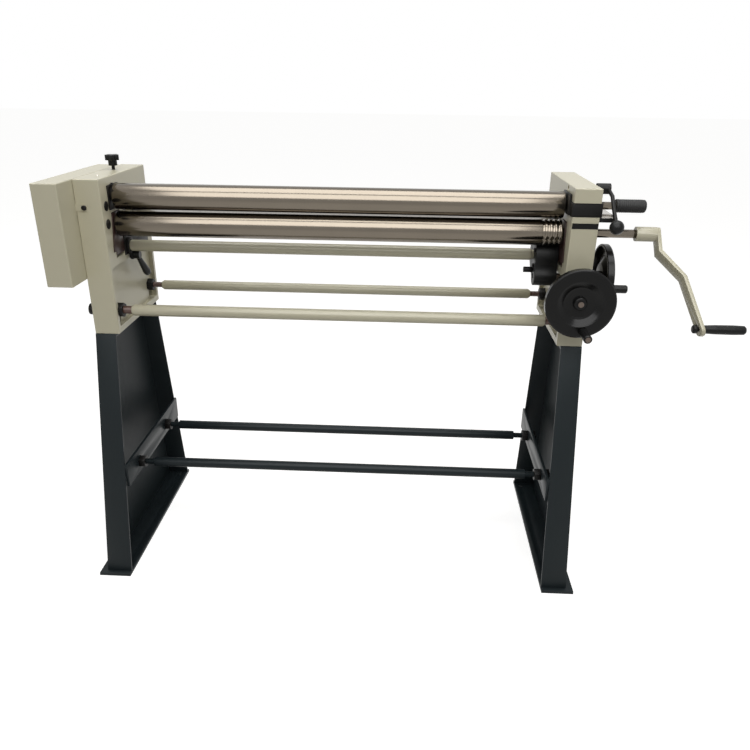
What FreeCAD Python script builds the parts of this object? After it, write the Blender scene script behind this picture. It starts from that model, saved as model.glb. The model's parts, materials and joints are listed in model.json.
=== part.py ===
import FreeCAD, Part
import math
import os
import re
import Sketcher

Vector = FreeCAD.Vector
Rotation = FreeCAD.Rotation
Placement = FreeCAD.Placement

# Manual slip roll for sheet metal, in millimetres.
# X runs along the rolls to the crank, Y to the rear and Z up from the floor.
# The origin is on the floor, midway between the heads and at the middle of their depth.
# The sizes that end in _y are measured back from the heads' front face.
SIZES = {
    # Rolls
    "roll_length": 1300, "roll_radius": 37.5, "roll_gap": 4, "roll_end_gap": 10,
    "roll_y": 88, "top_axis_rise": 399.5, "journal_radius": 15, "crank_shaft_radius": 12.5,
    "groove_radius": 34.5, "groove_pitch": 14, "groove_width": 7,
    # Fits
    "running_fit": 0.05, "slide_fit": 0.4, "seat_gap": 0.3,
    # Heads
    "head_thick": 75, "head_depth": 362, "head_height": 458, "stand_height": 795,
    "recess_depth": 13, "recess_rim": 16, "recess_top": 201, "recess_floor": 20,
    "wall_near": 27, "wall_far": 13, "wall_front": 14, "head_fillet": 3,
    # Lower roll lift
    "block_width": 60, "block_below": 89.5, "block_above": 33.5, "block_proud": 2,
    "block_end_wall": 10, "block_flange": 3, "block_flange_top": 25, "block_flange_foot": 38,
    "lift_up": 2, "lift_down": 8, "push_rod_radius": 8, "push_rod_depth": 52, "push_rod_floor": 8,
    "press_y": 33, "press_rise": 68, "press_radius": 17.5, "press_neck_radius": 12,
    "press_neck_length": 26, "press_collar_radius": 21, "press_collar_length": 24,
    "arm_thick": 12, "arm_hub_radius": 19, "arm_nose_radius": 9,
    "screw_depth": 36, "screw_rise": 153, "screw_radius": 8, "screw_reach": 62,
    "nut_depth": 20, "nut_length": 24, "nut_height": 28, "nut_pin_radius": 5,
    # Top roll swing and clamp
    "ball_depth": 37, "ball_radius": 30, "ball_width": 34, "seat_radius": 38, "seat_width": 38,
    "seat_plate_thick": 4, "seat_plate_front": 40, "seat_plate_rear": 36, "seat_plate_half": 35,
    "stub_radius": 20, "stub_start": 57, "stub_end": 136, "tongue_thick": 12, "tongue_width": 18,
    "tongue_end": 76, "slot_end": 81, "bush_wall": 5,
    "slot_half": 19.5, "top_block_half": 19.1, "top_block_front": 84, "top_block_rear": 67,
    "top_block_inner": 3, "top_block_outer": 6, "top_flange_thick": 6.5, "top_flange_gap": 1,
    "top_flange_front": 58, "top_flange_rear": 30, "top_flange_above": 38.5,
    "ledge_width": 50, "ledge_depth": 150, "ledge_thick": 13,
    "grip_radius": 19, "grip_start": 62, "grip_length": 86, "grip_neck_radius": 11,
    "cam_y": 92, "cam_rise": 446, "cam_radius": 8, "lobe_width": 16, "lobe_depth": 30,
    "lever_hub_radius": 15, "lever_hub_length": 38, "lever_radius": 5.5, "lever_ball_radius": 19.5,
    "lever_offset": 37, "lever_knee_y": 40, "lever_knee_rise": 433,
    "lever_bend_y": 2, "lever_bend_rise": 397,
    "lever_ball_y": -42, "lever_ball_rise": 363,
    # Roll gears behind the cover
    "roll_teeth": 13, "roll_gear_start": 104, "roll_gear_width": 26,
    "roll_gear_tip": 4.2, "roll_gear_root": 7.6, "roll_gear_tooth": 8.1,
    # Rear roll swing
    "swing_y": 150, "swing_rise": 240, "swing_radius": 17.5, "swing_neck_radius": 14,
    "swing_reach": 100, "swing_rest": 35, "swing_down": 15, "swing_up": 43,
    "swing_left_end": 12, "swing_right_end": 77, "swing_hub_radius": 21, "swing_eye_radius": 22,
    "swing_arm_start": 36, "swing_arm_thick": 18, "wear_plate_thick": 4, "wear_plate_gap": 2,
    "wear_plate_above": 110, "wear_plate_below": 24, "wear_plate_rear": 60,
    "gear_module": 2, "pinion_teeth": 20, "gear_teeth": 46, "gear_width": 24, "gear_start": 24,
    "housing_wall": 4, "housing_length": 70, "housing_clearance": 3,
    "wheel_shaft_y": 118, "wheel_shaft_radius": 8.5, "wheel_shaft_reach": 68,
    "housing_screw_across": 11, "housing_screw_height": 6, "peg_radius": 8.5, "peg_length": 26,
    "peg_drop": 45.2,
    # Hand wheels
    "wheel_radius": 99, "rim_width": 22, "dish_radius": 64, "dish_floor": 44,
    "dish_depth": 14, "web_thick": 6, "hub_radius": 18, "hub_length": 34,
    "front_wheel_gap": 42, "side_wheel_gap": 40, "wheel_grip_circle": 80, "wheel_grip_radius": 12,
    "wheel_grip_length": 68, "side_grip_length": 42, "grip_bolt_radius": 4,
    "grip_bolt_sink": 6.5,
    "front_grip_angle": 10, "side_grip_angle": 10,
    # Crank
    "crank_hub_start": 131, "crank_hub_length": 57, "crank_hub_radius": 21, "crank_angle": 40,
    "crank_width": 38, "crank_thick": 10, "crank_bend_start": 62, "crank_bend_end": 139,
    "crank_reach": 290, "crank_offset": 62, "crank_flare": 38,
    "crank_grip_length": 112, "crank_grip_radius": 13.5, "crank_grip_gap": 19, "crank_bolt_radius": 6,
    "crank_bolt_length": 137, "crank_nut_radius": 12, "crank_nut_thick": 11, "crank_nut_gap": 13,
    # Stand
    "leg_flare": 136.5, "leg_spread": 18, "leg_sheet": 5, "leg_top_plate": 10,
    "foot_overhang": 15, "foot_outside": 22, "foot_thick": 10, "foot_hole_radius": 7,
    "brace_z": 338, "brace_height": 78, "brace_thick": 8, "stand_rod_front_y": 34, "stand_rod_inset": 59,
    "stand_rod_z": 331, "stand_rod_radius": 15.5,
    "tie_rod_inset": 50, "tie_rod_rise": 68, "tie_rod_radius": 16, "tie_neck_radius": 9, "tie_neck_length": 50,
    "nut_across": 36, "nut_thick": 20,
    # Gear cover
    "cover_width": 73, "cover_front": 95, "cover_rear": 12, "cover_rise": 171, "cover_sheet": 2,
    "tab_height": 20, "tab_reach": 16, "cover_screw_radius": 7,
    # Lock lever and star knob
    "lock_y": 156, "lock_rise": 209, "lock_reach": 98, "lock_droop": 47, "lock_radius": 12.5,
    "lock_neck_radius": 5, "lock_hub_radius": 12, "lock_hub_length": 20, "lock_pin_radius": 6,
    "lock_bracket_thick": 8,
    "knob_y": 223, "knob_depth": 44, "knob_radius": 21, "knob_height": 16, "knob_hub_radius": 13,
    "knob_hub_height": 16, "knob_stem_radius": 5, "knob_stem_height": 12, "knob_stem_below": 28,
    # Fasteners
    "head_bolt_radius": 6, "head_bolt_across": 19, "head_bolt_inset": 38,
    "head_bolt_depth": 42, "bolt_window": 32, "plug_radius": 14,
    "plug_depth": 6, "head_bolt_cap": 10, "head_bolt_end": 6,
}

# Heights over the floor and depths from the front that follow from the sizes above
PLACES = {
    "top_axis_z": "=stand_height+top_axis_rise", "press_z": "=stand_height+press_rise",
    "screw_z": "=stand_height+screw_rise", "cam_z": "=stand_height+cam_rise",
    "lever_knee_z": "=stand_height+lever_knee_rise", "lever_bend_z": "=stand_height+lever_bend_rise",
    "lever_ball_z": "=stand_height+lever_ball_rise", "swing_z": "=stand_height+swing_rise",
    "tie_rod_z": "=stand_height+tie_rod_rise", "cover_bottom": "=stand_height+cover_rise",
    "lock_z": "=stand_height+lock_rise", "tie_rod_y": "=head_depth-tie_rod_inset",
    "stand_rod_rear_y": "=head_depth-stand_rod_inset",
}

doc = FreeCAD.newDocument("slip_roll")
sheet = doc.addObject("Spreadsheet::Sheet", "sizes")
for row, (alias, size) in enumerate([*SIZES.items(), *PLACES.items()], start=1):
    sheet.set(f"A{row}", alias)
    sheet.set(f"B{row}", str(size))
    sheet.setAlias(f"B{row}", alias)
doc.recompute()

MATHS = {"sin", "cos", "sqrt", "deg"}
ALONG_X = Rotation(Vector(0, 1, 0), 90)
ALONG_Y = Rotation(Vector(1, 0, 0), -90)
ALONG_Z = Rotation()
LEFT, RIGHT = -1, 1

# Places that several pieces share, written in the driving sizes
INNER = "(roll_length/2+roll_end_gap)"
LOWER_Z = "(top_axis_z-2*roll_radius-roll_gap)"
HEAD_TOP = "(stand_height+head_height)"
REAR_Y = "(swing_y+swing_reach*cos(swing_rest*1deg))"
REAR_Z = "(swing_z+swing_reach*sin(swing_rest*1deg))"
GEAR_CENTRES = "(gear_module*(pinion_teeth+gear_teeth)/2)"
WHEEL_SHAFT_Z = f"(swing_z-sqrt({GEAR_CENTRES}^2-(swing_y-wheel_shaft_y)^2))"
CAVITY_FAR = "(head_thick-wall_far)"
POCKET_FLOOR = f"({LOWER_Z}-block_below-lift_down-slide_fit)"
POCKET_ROOF = f"({LOWER_Z}+block_above+lift_up+slide_fit)"
POCKET_FRONT = "(roll_y-block_width/2-slide_fit)"
POCKET_REAR = "(roll_y+block_width/2+slide_fit)"
LOBE_REACH = "(cam_z-top_axis_z-top_block_half-seat_gap)"


def size(alias):
    return float(sheet.get(alias))


def bound(text):
    """Points each size named in an expression at its cell."""
    def cell(match):
        word = match.group(0)
        return word if word in MATHS else f"sizes.{word}"
    return re.sub(r"(?<![0-9.a-z_])[a-z_][a-z_0-9]*", cell, text)


def tie(piece, prop, text):
    if isinstance(text, str):
        piece.setExpression(prop, bound(text))
    else:
        holder, _, last = prop.rpartition(".")
        if holder == "Placement.Base":
            setattr(piece.Placement.Base, last, text)
        else:
            setattr(piece, prop, text)


def seat(piece, at, turn=ALONG_Z):
    """Sets a piece at (x, y, z), with y measured back from the heads' front face."""
    piece.Placement = Placement(Vector(0, 0, 0), turn)
    for axis, text in zip("xyz", (at[0], f"({at[1]})-head_depth/2", at[2])):
        if text != 0:
            tie(piece, f"Placement.Base.{axis}", str(text))
    return piece


def set_at(piece, point, turn=ALONG_Z):
    """Sets a piece at a worked-out point, with y measured in the same way."""
    piece.setExpression("Placement.Base.y", None)
    piece.Placement = Placement(point - Vector(0, size("head_depth") / 2, 0), turn)
    return piece


def block(name, corner, extent):
    piece = doc.addObject("Part::Box", name)
    for prop, text in zip(("Length", "Width", "Height"), extent):
        tie(piece, prop, str(text))
    return seat(piece, corner)


def rod(name, radius, length, start, along=ALONG_X):
    piece = doc.addObject("Part::Cylinder", name)
    tie(piece, "Radius", str(radius))
    tie(piece, "Height", str(length))
    return seat(piece, start, along)


def ball(name, radius, centre):
    piece = doc.addObject("Part::Sphere", name)
    tie(piece, "Radius", str(radius))
    return seat(piece, centre, ALONG_X)


def prism(name, across, length, start, along=ALONG_X):
    piece = doc.addObject("Part::Prism", name)
    piece.Polygon = 6
    tie(piece, "Circumradius", f"({across})/(2*cos(30deg))")
    tie(piece, "Height", str(length))
    return seat(piece, start, along)


def join(name, *pieces):
    piece = doc.addObject("Part::MultiFuse", name)
    piece.Shapes = list(pieces)
    piece.Refine = True
    return piece


def cut(name, base, *tools):
    piece = doc.addObject("Part::Cut", name)
    piece.Base = base
    piece.Tool = tools[0] if len(tools) == 1 else group(f"{name}_tools", *tools)
    piece.Refine = True
    return piece


def common(name, first, second):
    piece = doc.addObject("Part::Common", name)
    piece.Base, piece.Tool = first, second
    return piece


def group(name, *pieces):
    piece = doc.addObject("Part::Compound", name)
    piece.Links = list(pieces)
    return piece


def solid(name, shape):
    piece = doc.addObject("Part::Feature", name)
    piece.Shape = shape
    return piece


def rounded(name, base, radius, wanted):
    """Rounds the edges whose middle point passes the wanted test."""
    doc.recompute()
    picked = []
    for number, edge in enumerate(base.Shape.Edges, start=1):
        middle = edge.valueAt((edge.FirstParameter + edge.LastParameter) / 2)
        middle.y += size("head_depth") / 2
        if wanted(edge, middle):
            picked.append((number, radius, radius))
    piece = doc.addObject("Part::Fillet", name)
    piece.Base = base
    piece.Edges = picked
    return piece


def outline_sketch(body, outline, plane):
    """A closed outline whose every corner is held by the driving sizes."""
    sketch = body.newObject("Sketcher::SketchObject", f"{body.Name}_sketch")
    origin = [o for o in body.Origin.OriginFeatures if o.Role == plane][0]
    sketch.AttachmentSupport = [(origin, "")]
    sketch.MapMode = "FlatFace"
    rough = [(number(x), number(y)) for x, y in outline]
    lines = []
    for here, there in zip(rough, rough[1:] + rough[:1]):
        start, end = Vector(here[0], here[1], 0), Vector(there[0], there[1], 0)
        lines.append(sketch.addGeometry(Part.LineSegment(start, end), False))
    for first, second in zip(lines, lines[1:] + lines[:1]):
        sketch.addConstraint(Sketcher.Constraint("Coincident", first, 2, second, 1))
    for line, corner, place in zip(lines, outline, rough):
        for kind, axis, text, value in (("DistanceX", -2, corner[0], place[0]),
                                        ("DistanceY", -1, corner[1], place[1])):
            if text == 0:
                sketch.addConstraint(Sketcher.Constraint("PointOnObject", line, 1, axis))
                continue
            held = sketch.addConstraint(Sketcher.Constraint(kind, -1, 1, line, 1, value))
            sketch.setExpression(f"Constraints[{held}]", bound(str(text)))
    return sketch


def number(text):
    """The present value of an expression in the driving sizes."""
    if not isinstance(text, str):
        return float(text)
    probe = doc.getObject("probe") or doc.addObject("App::FeaturePython", "probe")
    if "value" not in probe.PropertiesList:
        probe.addProperty("App::PropertyFloat", "value")
    probe.setExpression("value", bound(text))
    probe.recompute()
    return probe.value


def turned(name, outline, at, turn=ALONG_Z):
    """A lathe piece: the outline is (distance along X, radius)."""
    body = doc.addObject("PartDesign::Body", name)
    sketch = outline_sketch(body, outline, "XY_Plane")
    spin = body.newObject("PartDesign::Revolution", f"{name}_turn")
    spin.Profile = sketch
    spin.ReferenceAxis = (sketch, ["H_Axis"])
    spin.Angle = 360
    body.Tip = spin
    return seat(body, at, turn)


def milled(name, outline, width, at, turn=ALONG_Z, plane="XZ_Plane"):
    """A flat piece: the outline lies in the plane and is padded half to each side."""
    body = doc.addObject("PartDesign::Body", name)
    sketch = outline_sketch(body, outline, plane)
    pad = body.newObject("PartDesign::Pad", f"{name}_pad")
    pad.Profile = sketch
    pad.Midplane = True
    tie(pad, "Length", width)
    body.Tip = pad
    return seat(body, at, turn)


def near_start(side, near, far):
    """The lower X of a stretch measured outwards from a head's inner face."""
    return f"{INNER}+({near})" if side == RIGHT else f"-{INNER}-({far})"


def side_block(name, side, near, far, low, high):
    """A box at one head: depth out from the inner face, then (y, z) corners."""
    corner = (near_start(side, near, far), low[0], low[1])
    extent = (f"({far})-({near})", f"({high[0]})-({low[0]})", f"({high[1]})-({low[1]})")
    return block(name, corner, extent)


def side_rod(name, side, radius, near, far, y, z):
    return rod(name, radius, f"({far})-({near})", (near_start(side, near, far), y, z))


def side_nut(name, side, across, near, far, y, z):
    return prism(name, across, f"({far})-({near})", (near_start(side, near, far), y, z))


def bar(name, side, near, far, start, end, width_start, width_end):
    """A tapered flat link between two round ends, square to X."""
    thick = number(f"({far})-({near})")
    lower_x = number(near_start(side, near, far))
    p = Vector(lower_x, number(start[0]), number(start[1]))
    q = Vector(lower_x, number(end[0]), number(end[1]))
    along = (q - p).normalize()
    across = Vector(1, 0, 0).cross(along)
    half_p, half_q = number(width_start), number(width_end)
    corners = [p + across * half_p, q + across * half_q, q - across * half_q, p - across * half_p]
    face = Part.Face(Part.makePolygon(corners + corners[:1]))
    return set_at(solid(name, face.extrude(Vector(thick, 0, 0))), Vector(0, 0, 0))


def polar(radius, angle):
    return radius * math.cos(angle), radius * math.sin(angle)


def gear_shape(teeth, pitch_radius, tip, root, tooth, width, start_angle):
    """Involute spur gear on X, teeth as thick as tooth at the pitch circle."""
    base = pitch_radius * math.cos(math.radians(20))
    low, high = pitch_radius - root, pitch_radius + tip
    turn_of = lambda r: math.tan(math.acos(base / r)) - math.acos(base / r) if r > base else 0.0
    half_pitch = tooth / (2 * pitch_radius)
    steps = 4
    flank = [max(base, low) + (high - max(base, low)) * k / steps for k in range(steps + 1)]
    half = lambda r: half_pitch + turn_of(pitch_radius) - turn_of(r)
    points = []
    for k in range(teeth):
        middle = start_angle + 2 * math.pi * k / teeth
        if low < base:
            points.append(polar(low, middle - half(base)))
        points += [polar(r, middle - half(r)) for r in flank]
        points += [polar(r, middle + half(r)) for r in reversed(flank)]
        if low < base:
            points.append(polar(low, middle + half(base)))
    ring = [Vector(0, y, z) for y, z in points]
    return Part.Face(Part.makePolygon(ring + ring[:1])).extrude(Vector(width, 0, 0))


def gear(name, shape, x, y, z, bore):
    blank = solid(f"{name}_teeth", shape)
    set_at(blank, Vector(number(x), number(y), number(z)))
    length = shape.BoundBox.XLength
    return cut(name, blank, rod(f"{name}_bore", bore, length + 2, (f"{x}-1", y, z)))


# Heads: two castings, hollow from below, with the slots and bores of what they carry
def head(name, side):
    body = side_block(f"{name}_body", side, 0, "head_thick", (0, "stand_height"), ("head_depth", HEAD_TOP))
    body = rounded(f"{name}_rounded", body, size("head_fillet"),
                   lambda edge, p: abs(abs(p.x) - number(f"{INNER}+head_thick/2")) > 1
                   or p.y < 1 or p.z > number(HEAD_TOP) - 1)
    tools = [
        side_block(f"{name}_recess", side, -1, "recess_depth", ("recess_rim", "stand_height+recess_floor"),
                   ("head_depth-recess_rim", "stand_height+recess_top")),
        side_block(f"{name}_cavity", side, "wall_near", CAVITY_FAR, ("wall_front", "stand_height+recess_floor"),
                   ("head_depth-wall_front", f"{POCKET_FLOOR}-push_rod_floor")),
        side_block(f"{name}_rear_cavity", side, "wall_near", CAVITY_FAR,
                   ("swing_y-swing_hub_radius-4", "stand_height+1"),
                   (f"{REAR_Y}+2*swing_eye_radius", f"swing_z+swing_reach+swing_eye_radius+8")),
        side_block(f"{name}_floor_way", side, "wall_near", CAVITY_FAR,
                   ("head_bolt_inset+25", "stand_height-1"),
                   ("head_depth-head_bolt_inset-25", "stand_height+recess_floor+1")),
        side_block(f"{name}_pocket", side, -1, "head_thick-block_end_wall", (POCKET_FRONT, POCKET_FLOOR),
                   (POCKET_REAR, POCKET_ROOF)),
        rod(f"{name}_push_bore", "push_rod_radius+running_fit", "push_rod_floor+2",
            (f"{side}*({INNER}+push_rod_depth)", "roll_y", f"{POCKET_FLOOR}-push_rod_floor-1"), ALONG_Z),
        side_rod(f"{name}_swing_bore", side, "swing_neck_radius+bush_wall", -1, "wall_near+1",
                 "swing_y", "swing_z"),
        side_rod(f"{name}_press_bore", side, "press_neck_radius+bush_wall", -1, "wall_near+1",
                 "press_y", "press_z"),
        side_rod(f"{name}_press_face", side, "press_collar_radius+3", -1, "recess_depth", "press_y", "press_z"),
        side_rod(f"{name}_tie_bore", side, "tie_neck_radius+0.5", -1, "head_thick+1", "tie_rod_y", "tie_rod_z"),
        arc_slot(f"{name}_arc", side),
    ]
    for index, y in enumerate(("head_bolt_inset", "head_depth-head_bolt_inset")):
        tools.append(rod(f"{name}_bolt_bore_{index}", "head_bolt_radius+0.5", "recess_floor+2",
                         (f"{side}*({INNER}+head_bolt_depth)", y, "stand_height-1"), ALONG_Z))
        tools.append(side_block(f"{name}_nut_window_{index}", side, -1, "wall_near+1",
                                (f"{y}-bolt_window/2", "stand_height+recess_floor"),
                                (f"{y}+bolt_window/2", "stand_height+recess_floor+bolt_window*0.8")))
    return body, tools


def arc_slot(name, side):
    """The curved window that a rear roll journal swings in."""
    low = size("swing_rest") - size("swing_down") - 9.5
    high = size("swing_rest") + size("swing_up") + 9.5
    turn = Rotation(Vector(1, 0, 0), low + 90).multiply(ALONG_X)
    ring = []
    for label, radius in (("outer", "swing_reach+journal_radius+1"), ("inner", "swing_reach-journal_radius-1")):
        piece = rod(f"{name}_{label}", radius, "wall_near+seat_gap+2+wear_plate_thick",
                    (near_start(side, "-1-wear_plate_thick", "wall_near+seat_gap+1"), "swing_y", "swing_z"), turn)
        piece.Angle = high - low
        ring.append(piece)
    return cut(name, *ring)


LIFT_SLOT = ("journal_radius+1", f"{LOWER_Z}-lift_down", f"{LOWER_Z}+lift_up")


def lift_window(name, side, radius):
    """A hole stretched upright so that a shaft can rise and fall in it."""
    near, far = "head_thick-block_end_wall-1", "head_thick+1"
    ends = [side_rod(f"{name}_low", side, radius, near, far, "roll_y", LIFT_SLOT[1]),
            side_rod(f"{name}_high", side, radius, near, far, "roll_y", LIFT_SLOT[2])]
    middle = side_block(f"{name}_middle", side, near, far, (f"roll_y-({radius})", LIFT_SLOT[1]),
                        (f"roll_y+{radius}", LIFT_SLOT[2]))
    return join(name, middle, *ends)


left_body, left_tools = head("left_head", LEFT)
left_tools += [
    side_rod("seat_bore", LEFT, "seat_radius", -1, "ball_depth+seat_width/2", "roll_y", "top_axis_z"),
    side_rod("stub_bore", LEFT, "stub_radius+bush_wall", "ball_depth+seat_width/2-1", "head_thick+1",
             "roll_y", "top_axis_z"),
    lift_window("left_window", LEFT, "journal_radius+1"),
    side_rod("press_end_bore", LEFT, "press_neck_radius+0.5", f"{CAVITY_FAR}-1", "head_thick+1",
             "press_y", "press_z"),
    rod("knob_bore", "knob_stem_radius+0.5", "knob_stem_below+2",
        (f"-{INNER}-knob_depth", "knob_y", f"{HEAD_TOP}-knob_stem_below-1"), ALONG_Z),
    rod("cover_screw_bore", "cover_screw_radius*0.6", 21,
        (f"-{INNER}-head_thick+tab_reach*1.6", -1, "top_axis_z-20"), ALONG_Y),
    side_rod("plug_bore_1", LEFT, "plug_radius", -1, "plug_depth", "plug_radius*2+2", "top_axis_z-20"),
    side_rod("plug_bore_2", LEFT, "plug_radius", -1, "plug_depth", "plug_radius*2", "top_axis_z-71"),
]
left_head = cut("left_head", left_body, *left_tools)

right_body, right_tools = head("right_head", RIGHT)
right_tools += [
    side_block("top_slot", RIGHT, -1, "head_thick+1", (-1, "top_axis_z-slot_half"),
               ("roll_y+top_block_rear+2", "top_axis_z+slot_half")),
    lift_window("right_window", RIGHT, "crank_shaft_radius+1"),
    side_rod("cam_bore", RIGHT, "cam_radius+running_fit", -1, "head_thick+1", "cam_y", "cam_z"),
    side_block("cam_window", RIGHT, "lobe_depth-1", "lobe_depth+lobe_width+1",
               (f"cam_y-{LOBE_REACH}-1", "top_axis_z+slot_half-1"), ("cam_y+cam_radius+2", "cam_z+cam_radius+2")),
    side_rod("wheel_shaft_bore", RIGHT, "wheel_shaft_radius+bush_wall", f"{CAVITY_FAR}-1", "head_thick+1",
             "wheel_shaft_y", WHEEL_SHAFT_Z),
    side_rod("wheel_shaft_hole", RIGHT, "wheel_shaft_radius+1", -1, "wall_near+1", "wheel_shaft_y", WHEEL_SHAFT_Z),
    rod("screw_bore", "screw_radius+bush_wall", "wall_front+2",
        (f"{INNER}+screw_depth", -1, "screw_z"), ALONG_Y),
]
right_head = cut("right_head", right_body, *right_tools)


# Stand: two folded sheet panels, wider at the floor, each on a foot plate
def wedge(name, side, inset, bottom, top):
    """A panel's outer or inner form, from its foot up to the head."""
    piece = doc.addObject("Part::Wedge", name)
    near, far = f"recess_depth", "head_thick"
    if side == RIGHT:
        low = (f"{INNER}+{near}-({inset[0]})", f"{INNER}+{near}-({inset[0]})")
        high = (f"{INNER}+{far}+leg_spread-({inset[1]})", f"{INNER}+{far}-({inset[1]})")
    else:
        high = (f"-{INNER}-{near}+({inset[0]})", f"-{INNER}-{near}+({inset[0]})")
        low = (f"-{INNER}-{far}-leg_spread+({inset[1]})", f"-{INNER}-{far}+({inset[1]})")
    front = (f"leg_flare-({inset[1]})", f"-({inset[1]})")
    rear = (f"head_depth+leg_flare-({inset[1]})", f"head_depth-({inset[1]})")
    tie(piece, "Ymin", bottom)
    tie(piece, "Ymax", top)
    tie(piece, "Xmin", low[0])
    tie(piece, "X2min", low[1])
    tie(piece, "Xmax", high[0])
    tie(piece, "X2max", high[1])
    tie(piece, "Zmin", f"-({rear[0]})")
    tie(piece, "Z2min", f"-({rear[1]})")
    tie(piece, "Zmax", front[0])
    tie(piece, "Z2max", front[1])
    return seat(piece, (0, 0, 0), Rotation(Vector(1, 0, 0), 90))


def leg(name, side):
    outer = wedge(f"{name}_outer", side, ("0", "0"), "foot_thick", "stand_height")
    inner = wedge(f"{name}_inner", side, ("leg_sheet", "leg_sheet"), "foot_thick", "stand_height")
    clip = side_block(f"{name}_clip", side, 0, "head_thick+leg_spread+5",
                      ("-leg_flare-50", "foot_thick-1"), ("head_depth+leg_flare+50", "stand_height-leg_top_plate"))
    hollow = common(f"{name}_hollow", inner, clip)
    holes = [rod(f"{name}_bolt_hole_{index}", "head_bolt_radius+0.5", "leg_top_plate+2",
                 (f"{side}*({INNER}+head_bolt_depth)", y, "stand_height-leg_top_plate-1"), ALONG_Z)
             for index, y in enumerate(("head_bolt_inset", "head_depth-head_bolt_inset"))]
    return cut(name, outer, hollow, *holes)


left_leg = leg("left_leg", LEFT)
right_leg = leg("right_leg", RIGHT)

FOOT_HOLES = ("-leg_flare+25", "head_depth+leg_flare-25")


def foot(name, side):
    plate = side_block(f"{name}_plate", side, "recess_depth", "head_thick+leg_spread+foot_outside",
                       ("-leg_flare-foot_overhang", 0), ("head_depth+leg_flare+foot_overhang", "foot_thick"))
    holes = [rod(f"{name}_hole_{index}", "foot_hole_radius", "foot_thick+2",
                 (f"{side}*({INNER}+head_thick/2)", y, -1), ALONG_Z) for index, y in enumerate(FOOT_HOLES)]
    return cut(name, plate, *holes)


foot_plates = group("foot_plates", foot("left_foot", LEFT), foot("right_foot", RIGHT))


def brace(name, side):
    """A flat bar across the open side of a panel, just inside its edges."""
    flare = "leg_flare*(stand_height-brace_z)/stand_height"
    bar_body = side_block(f"{name}_bar", side, "recess_depth-brace_thick", "recess_depth",
                          (f"-{flare}+leg_sheet", "brace_z-brace_height/2"),
                          (f"head_depth+{flare}-leg_sheet", "brace_z+brace_height/2"))
    holes = [side_rod(f"{name}_hole_{index}", side, "tie_neck_radius+0.5", "recess_depth-brace_thick-1",
                      "recess_depth+1", y, "stand_rod_z")
             for index, y in enumerate(("stand_rod_front_y", "stand_rod_rear_y"))]
    return cut(name, bar_body, *holes)


leg_braces = group("leg_braces", brace("left_brace", LEFT), brace("right_brace", RIGHT))


# Tie rods: painted bars with necked, threaded ends that the nuts clamp through the walls
def tie_rod(name, radius, near, far, y, z):
    thick = rod(f"{name}_bar", radius, f"2*({INNER}+({near})-tie_neck_length)",
                (f"-{INNER}-({near})+tie_neck_length", y, z))
    thin = rod(f"{name}_neck", "tie_neck_radius", f"2*({INNER}+({far}))", (f"-{INNER}-({far})", y, z))
    return join(name, thick, thin)


rear_tie_rod = tie_rod("rear_tie_rod", "tie_rod_radius", "recess_depth", "head_thick+nut_thick+4",
                       "tie_rod_y", "tie_rod_z")
front_stand_rod = tie_rod("front_stand_rod", "stand_rod_radius", "recess_depth-brace_thick",
                          "recess_depth+nut_thick+4", "stand_rod_front_y", "stand_rod_z")
rear_stand_rod = tie_rod("rear_stand_rod", "stand_rod_radius", "recess_depth-brace_thick",
                         "recess_depth+nut_thick+4", "stand_rod_rear_y", "stand_rod_z")


def drilled_nut(name, side, near, far, y, z, across="nut_across", bore="tie_neck_radius"):
    blank = side_nut(f"{name}_blank", side, across, near, far, y, z)
    return cut(name, blank, side_rod(f"{name}_bore", side, bore, f"{near}-1", f"{far}+1", y, z))


nuts = []
for side, word in ((LEFT, "left"), (RIGHT, "right")):
    nuts.append(drilled_nut(f"{word}_tie_inner_nut", side, "recess_depth-nut_thick", "recess_depth",
                            "tie_rod_y", "tie_rod_z"))
    nuts.append(drilled_nut(f"{word}_tie_outer_nut", side, "head_thick", "head_thick+nut_thick",
                            "tie_rod_y", "tie_rod_z"))
    for place, y in (("front", "stand_rod_front_y"), ("rear", "stand_rod_rear_y")):
        nuts.append(drilled_nut(f"{word}_{place}_inner_nut", side, "recess_depth-brace_thick-nut_thick",
                                "recess_depth-brace_thick", y, "stand_rod_z"))
        nuts.append(drilled_nut(f"{word}_{place}_outer_nut", side, "recess_depth", "recess_depth+nut_thick",
                                y, "stand_rod_z"))
rod_nuts = group("rod_nuts", *nuts)


# Head bolts: one near the front and one near the rear of each head, down through the panel's top
bolts = []
for side, word in ((LEFT, "left"), (RIGHT, "right")):
    for place, y in (("front", "head_bolt_inset"), ("rear", "head_depth-head_bolt_inset")):
        x = f"{side}*({INNER}+head_bolt_depth)"
        shank = rod(f"{word}_{place}_shank", "head_bolt_radius",
                    "leg_top_plate+recess_floor+head_bolt_cap+2*head_bolt_end",
                    (x, y, "stand_height-leg_top_plate-head_bolt_cap-head_bolt_end"), ALONG_Z)
        cap = prism(f"{word}_{place}_cap", "head_bolt_across", "head_bolt_cap",
                    (x, y, "stand_height+recess_floor"), ALONG_Z)
        under = prism(f"{word}_{place}_under", "head_bolt_across", "head_bolt_cap",
                      (x, y, "stand_height-leg_top_plate-head_bolt_cap"), ALONG_Z)
        bolts.append(join(f"{word}_{place}_bolt", shank, cap, under))
head_bolts = group("head_bolts", *bolts)


# Roll gears and their cover on the left
PITCH = "((top_axis_z-" + LOWER_Z + ")/2)"


def roll_gear(name, z, start_angle, bore):
    shape = gear_shape(int(size("roll_teeth")), number(PITCH), size("roll_gear_tip"), size("roll_gear_root"),
                       size("roll_gear_tooth"), size("roll_gear_width"), start_angle)
    x = near_start(LEFT, "roll_gear_start", "roll_gear_start+roll_gear_width")
    return gear(name, shape, x, "roll_y", z, bore)


lower_gear = roll_gear("lower_gear", LOWER_Z, math.pi / 2, "journal_radius")
top_gear = roll_gear("top_gear", "top_axis_z", -math.pi / 2 + math.pi / size("roll_teeth"), "stub_radius")

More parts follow.
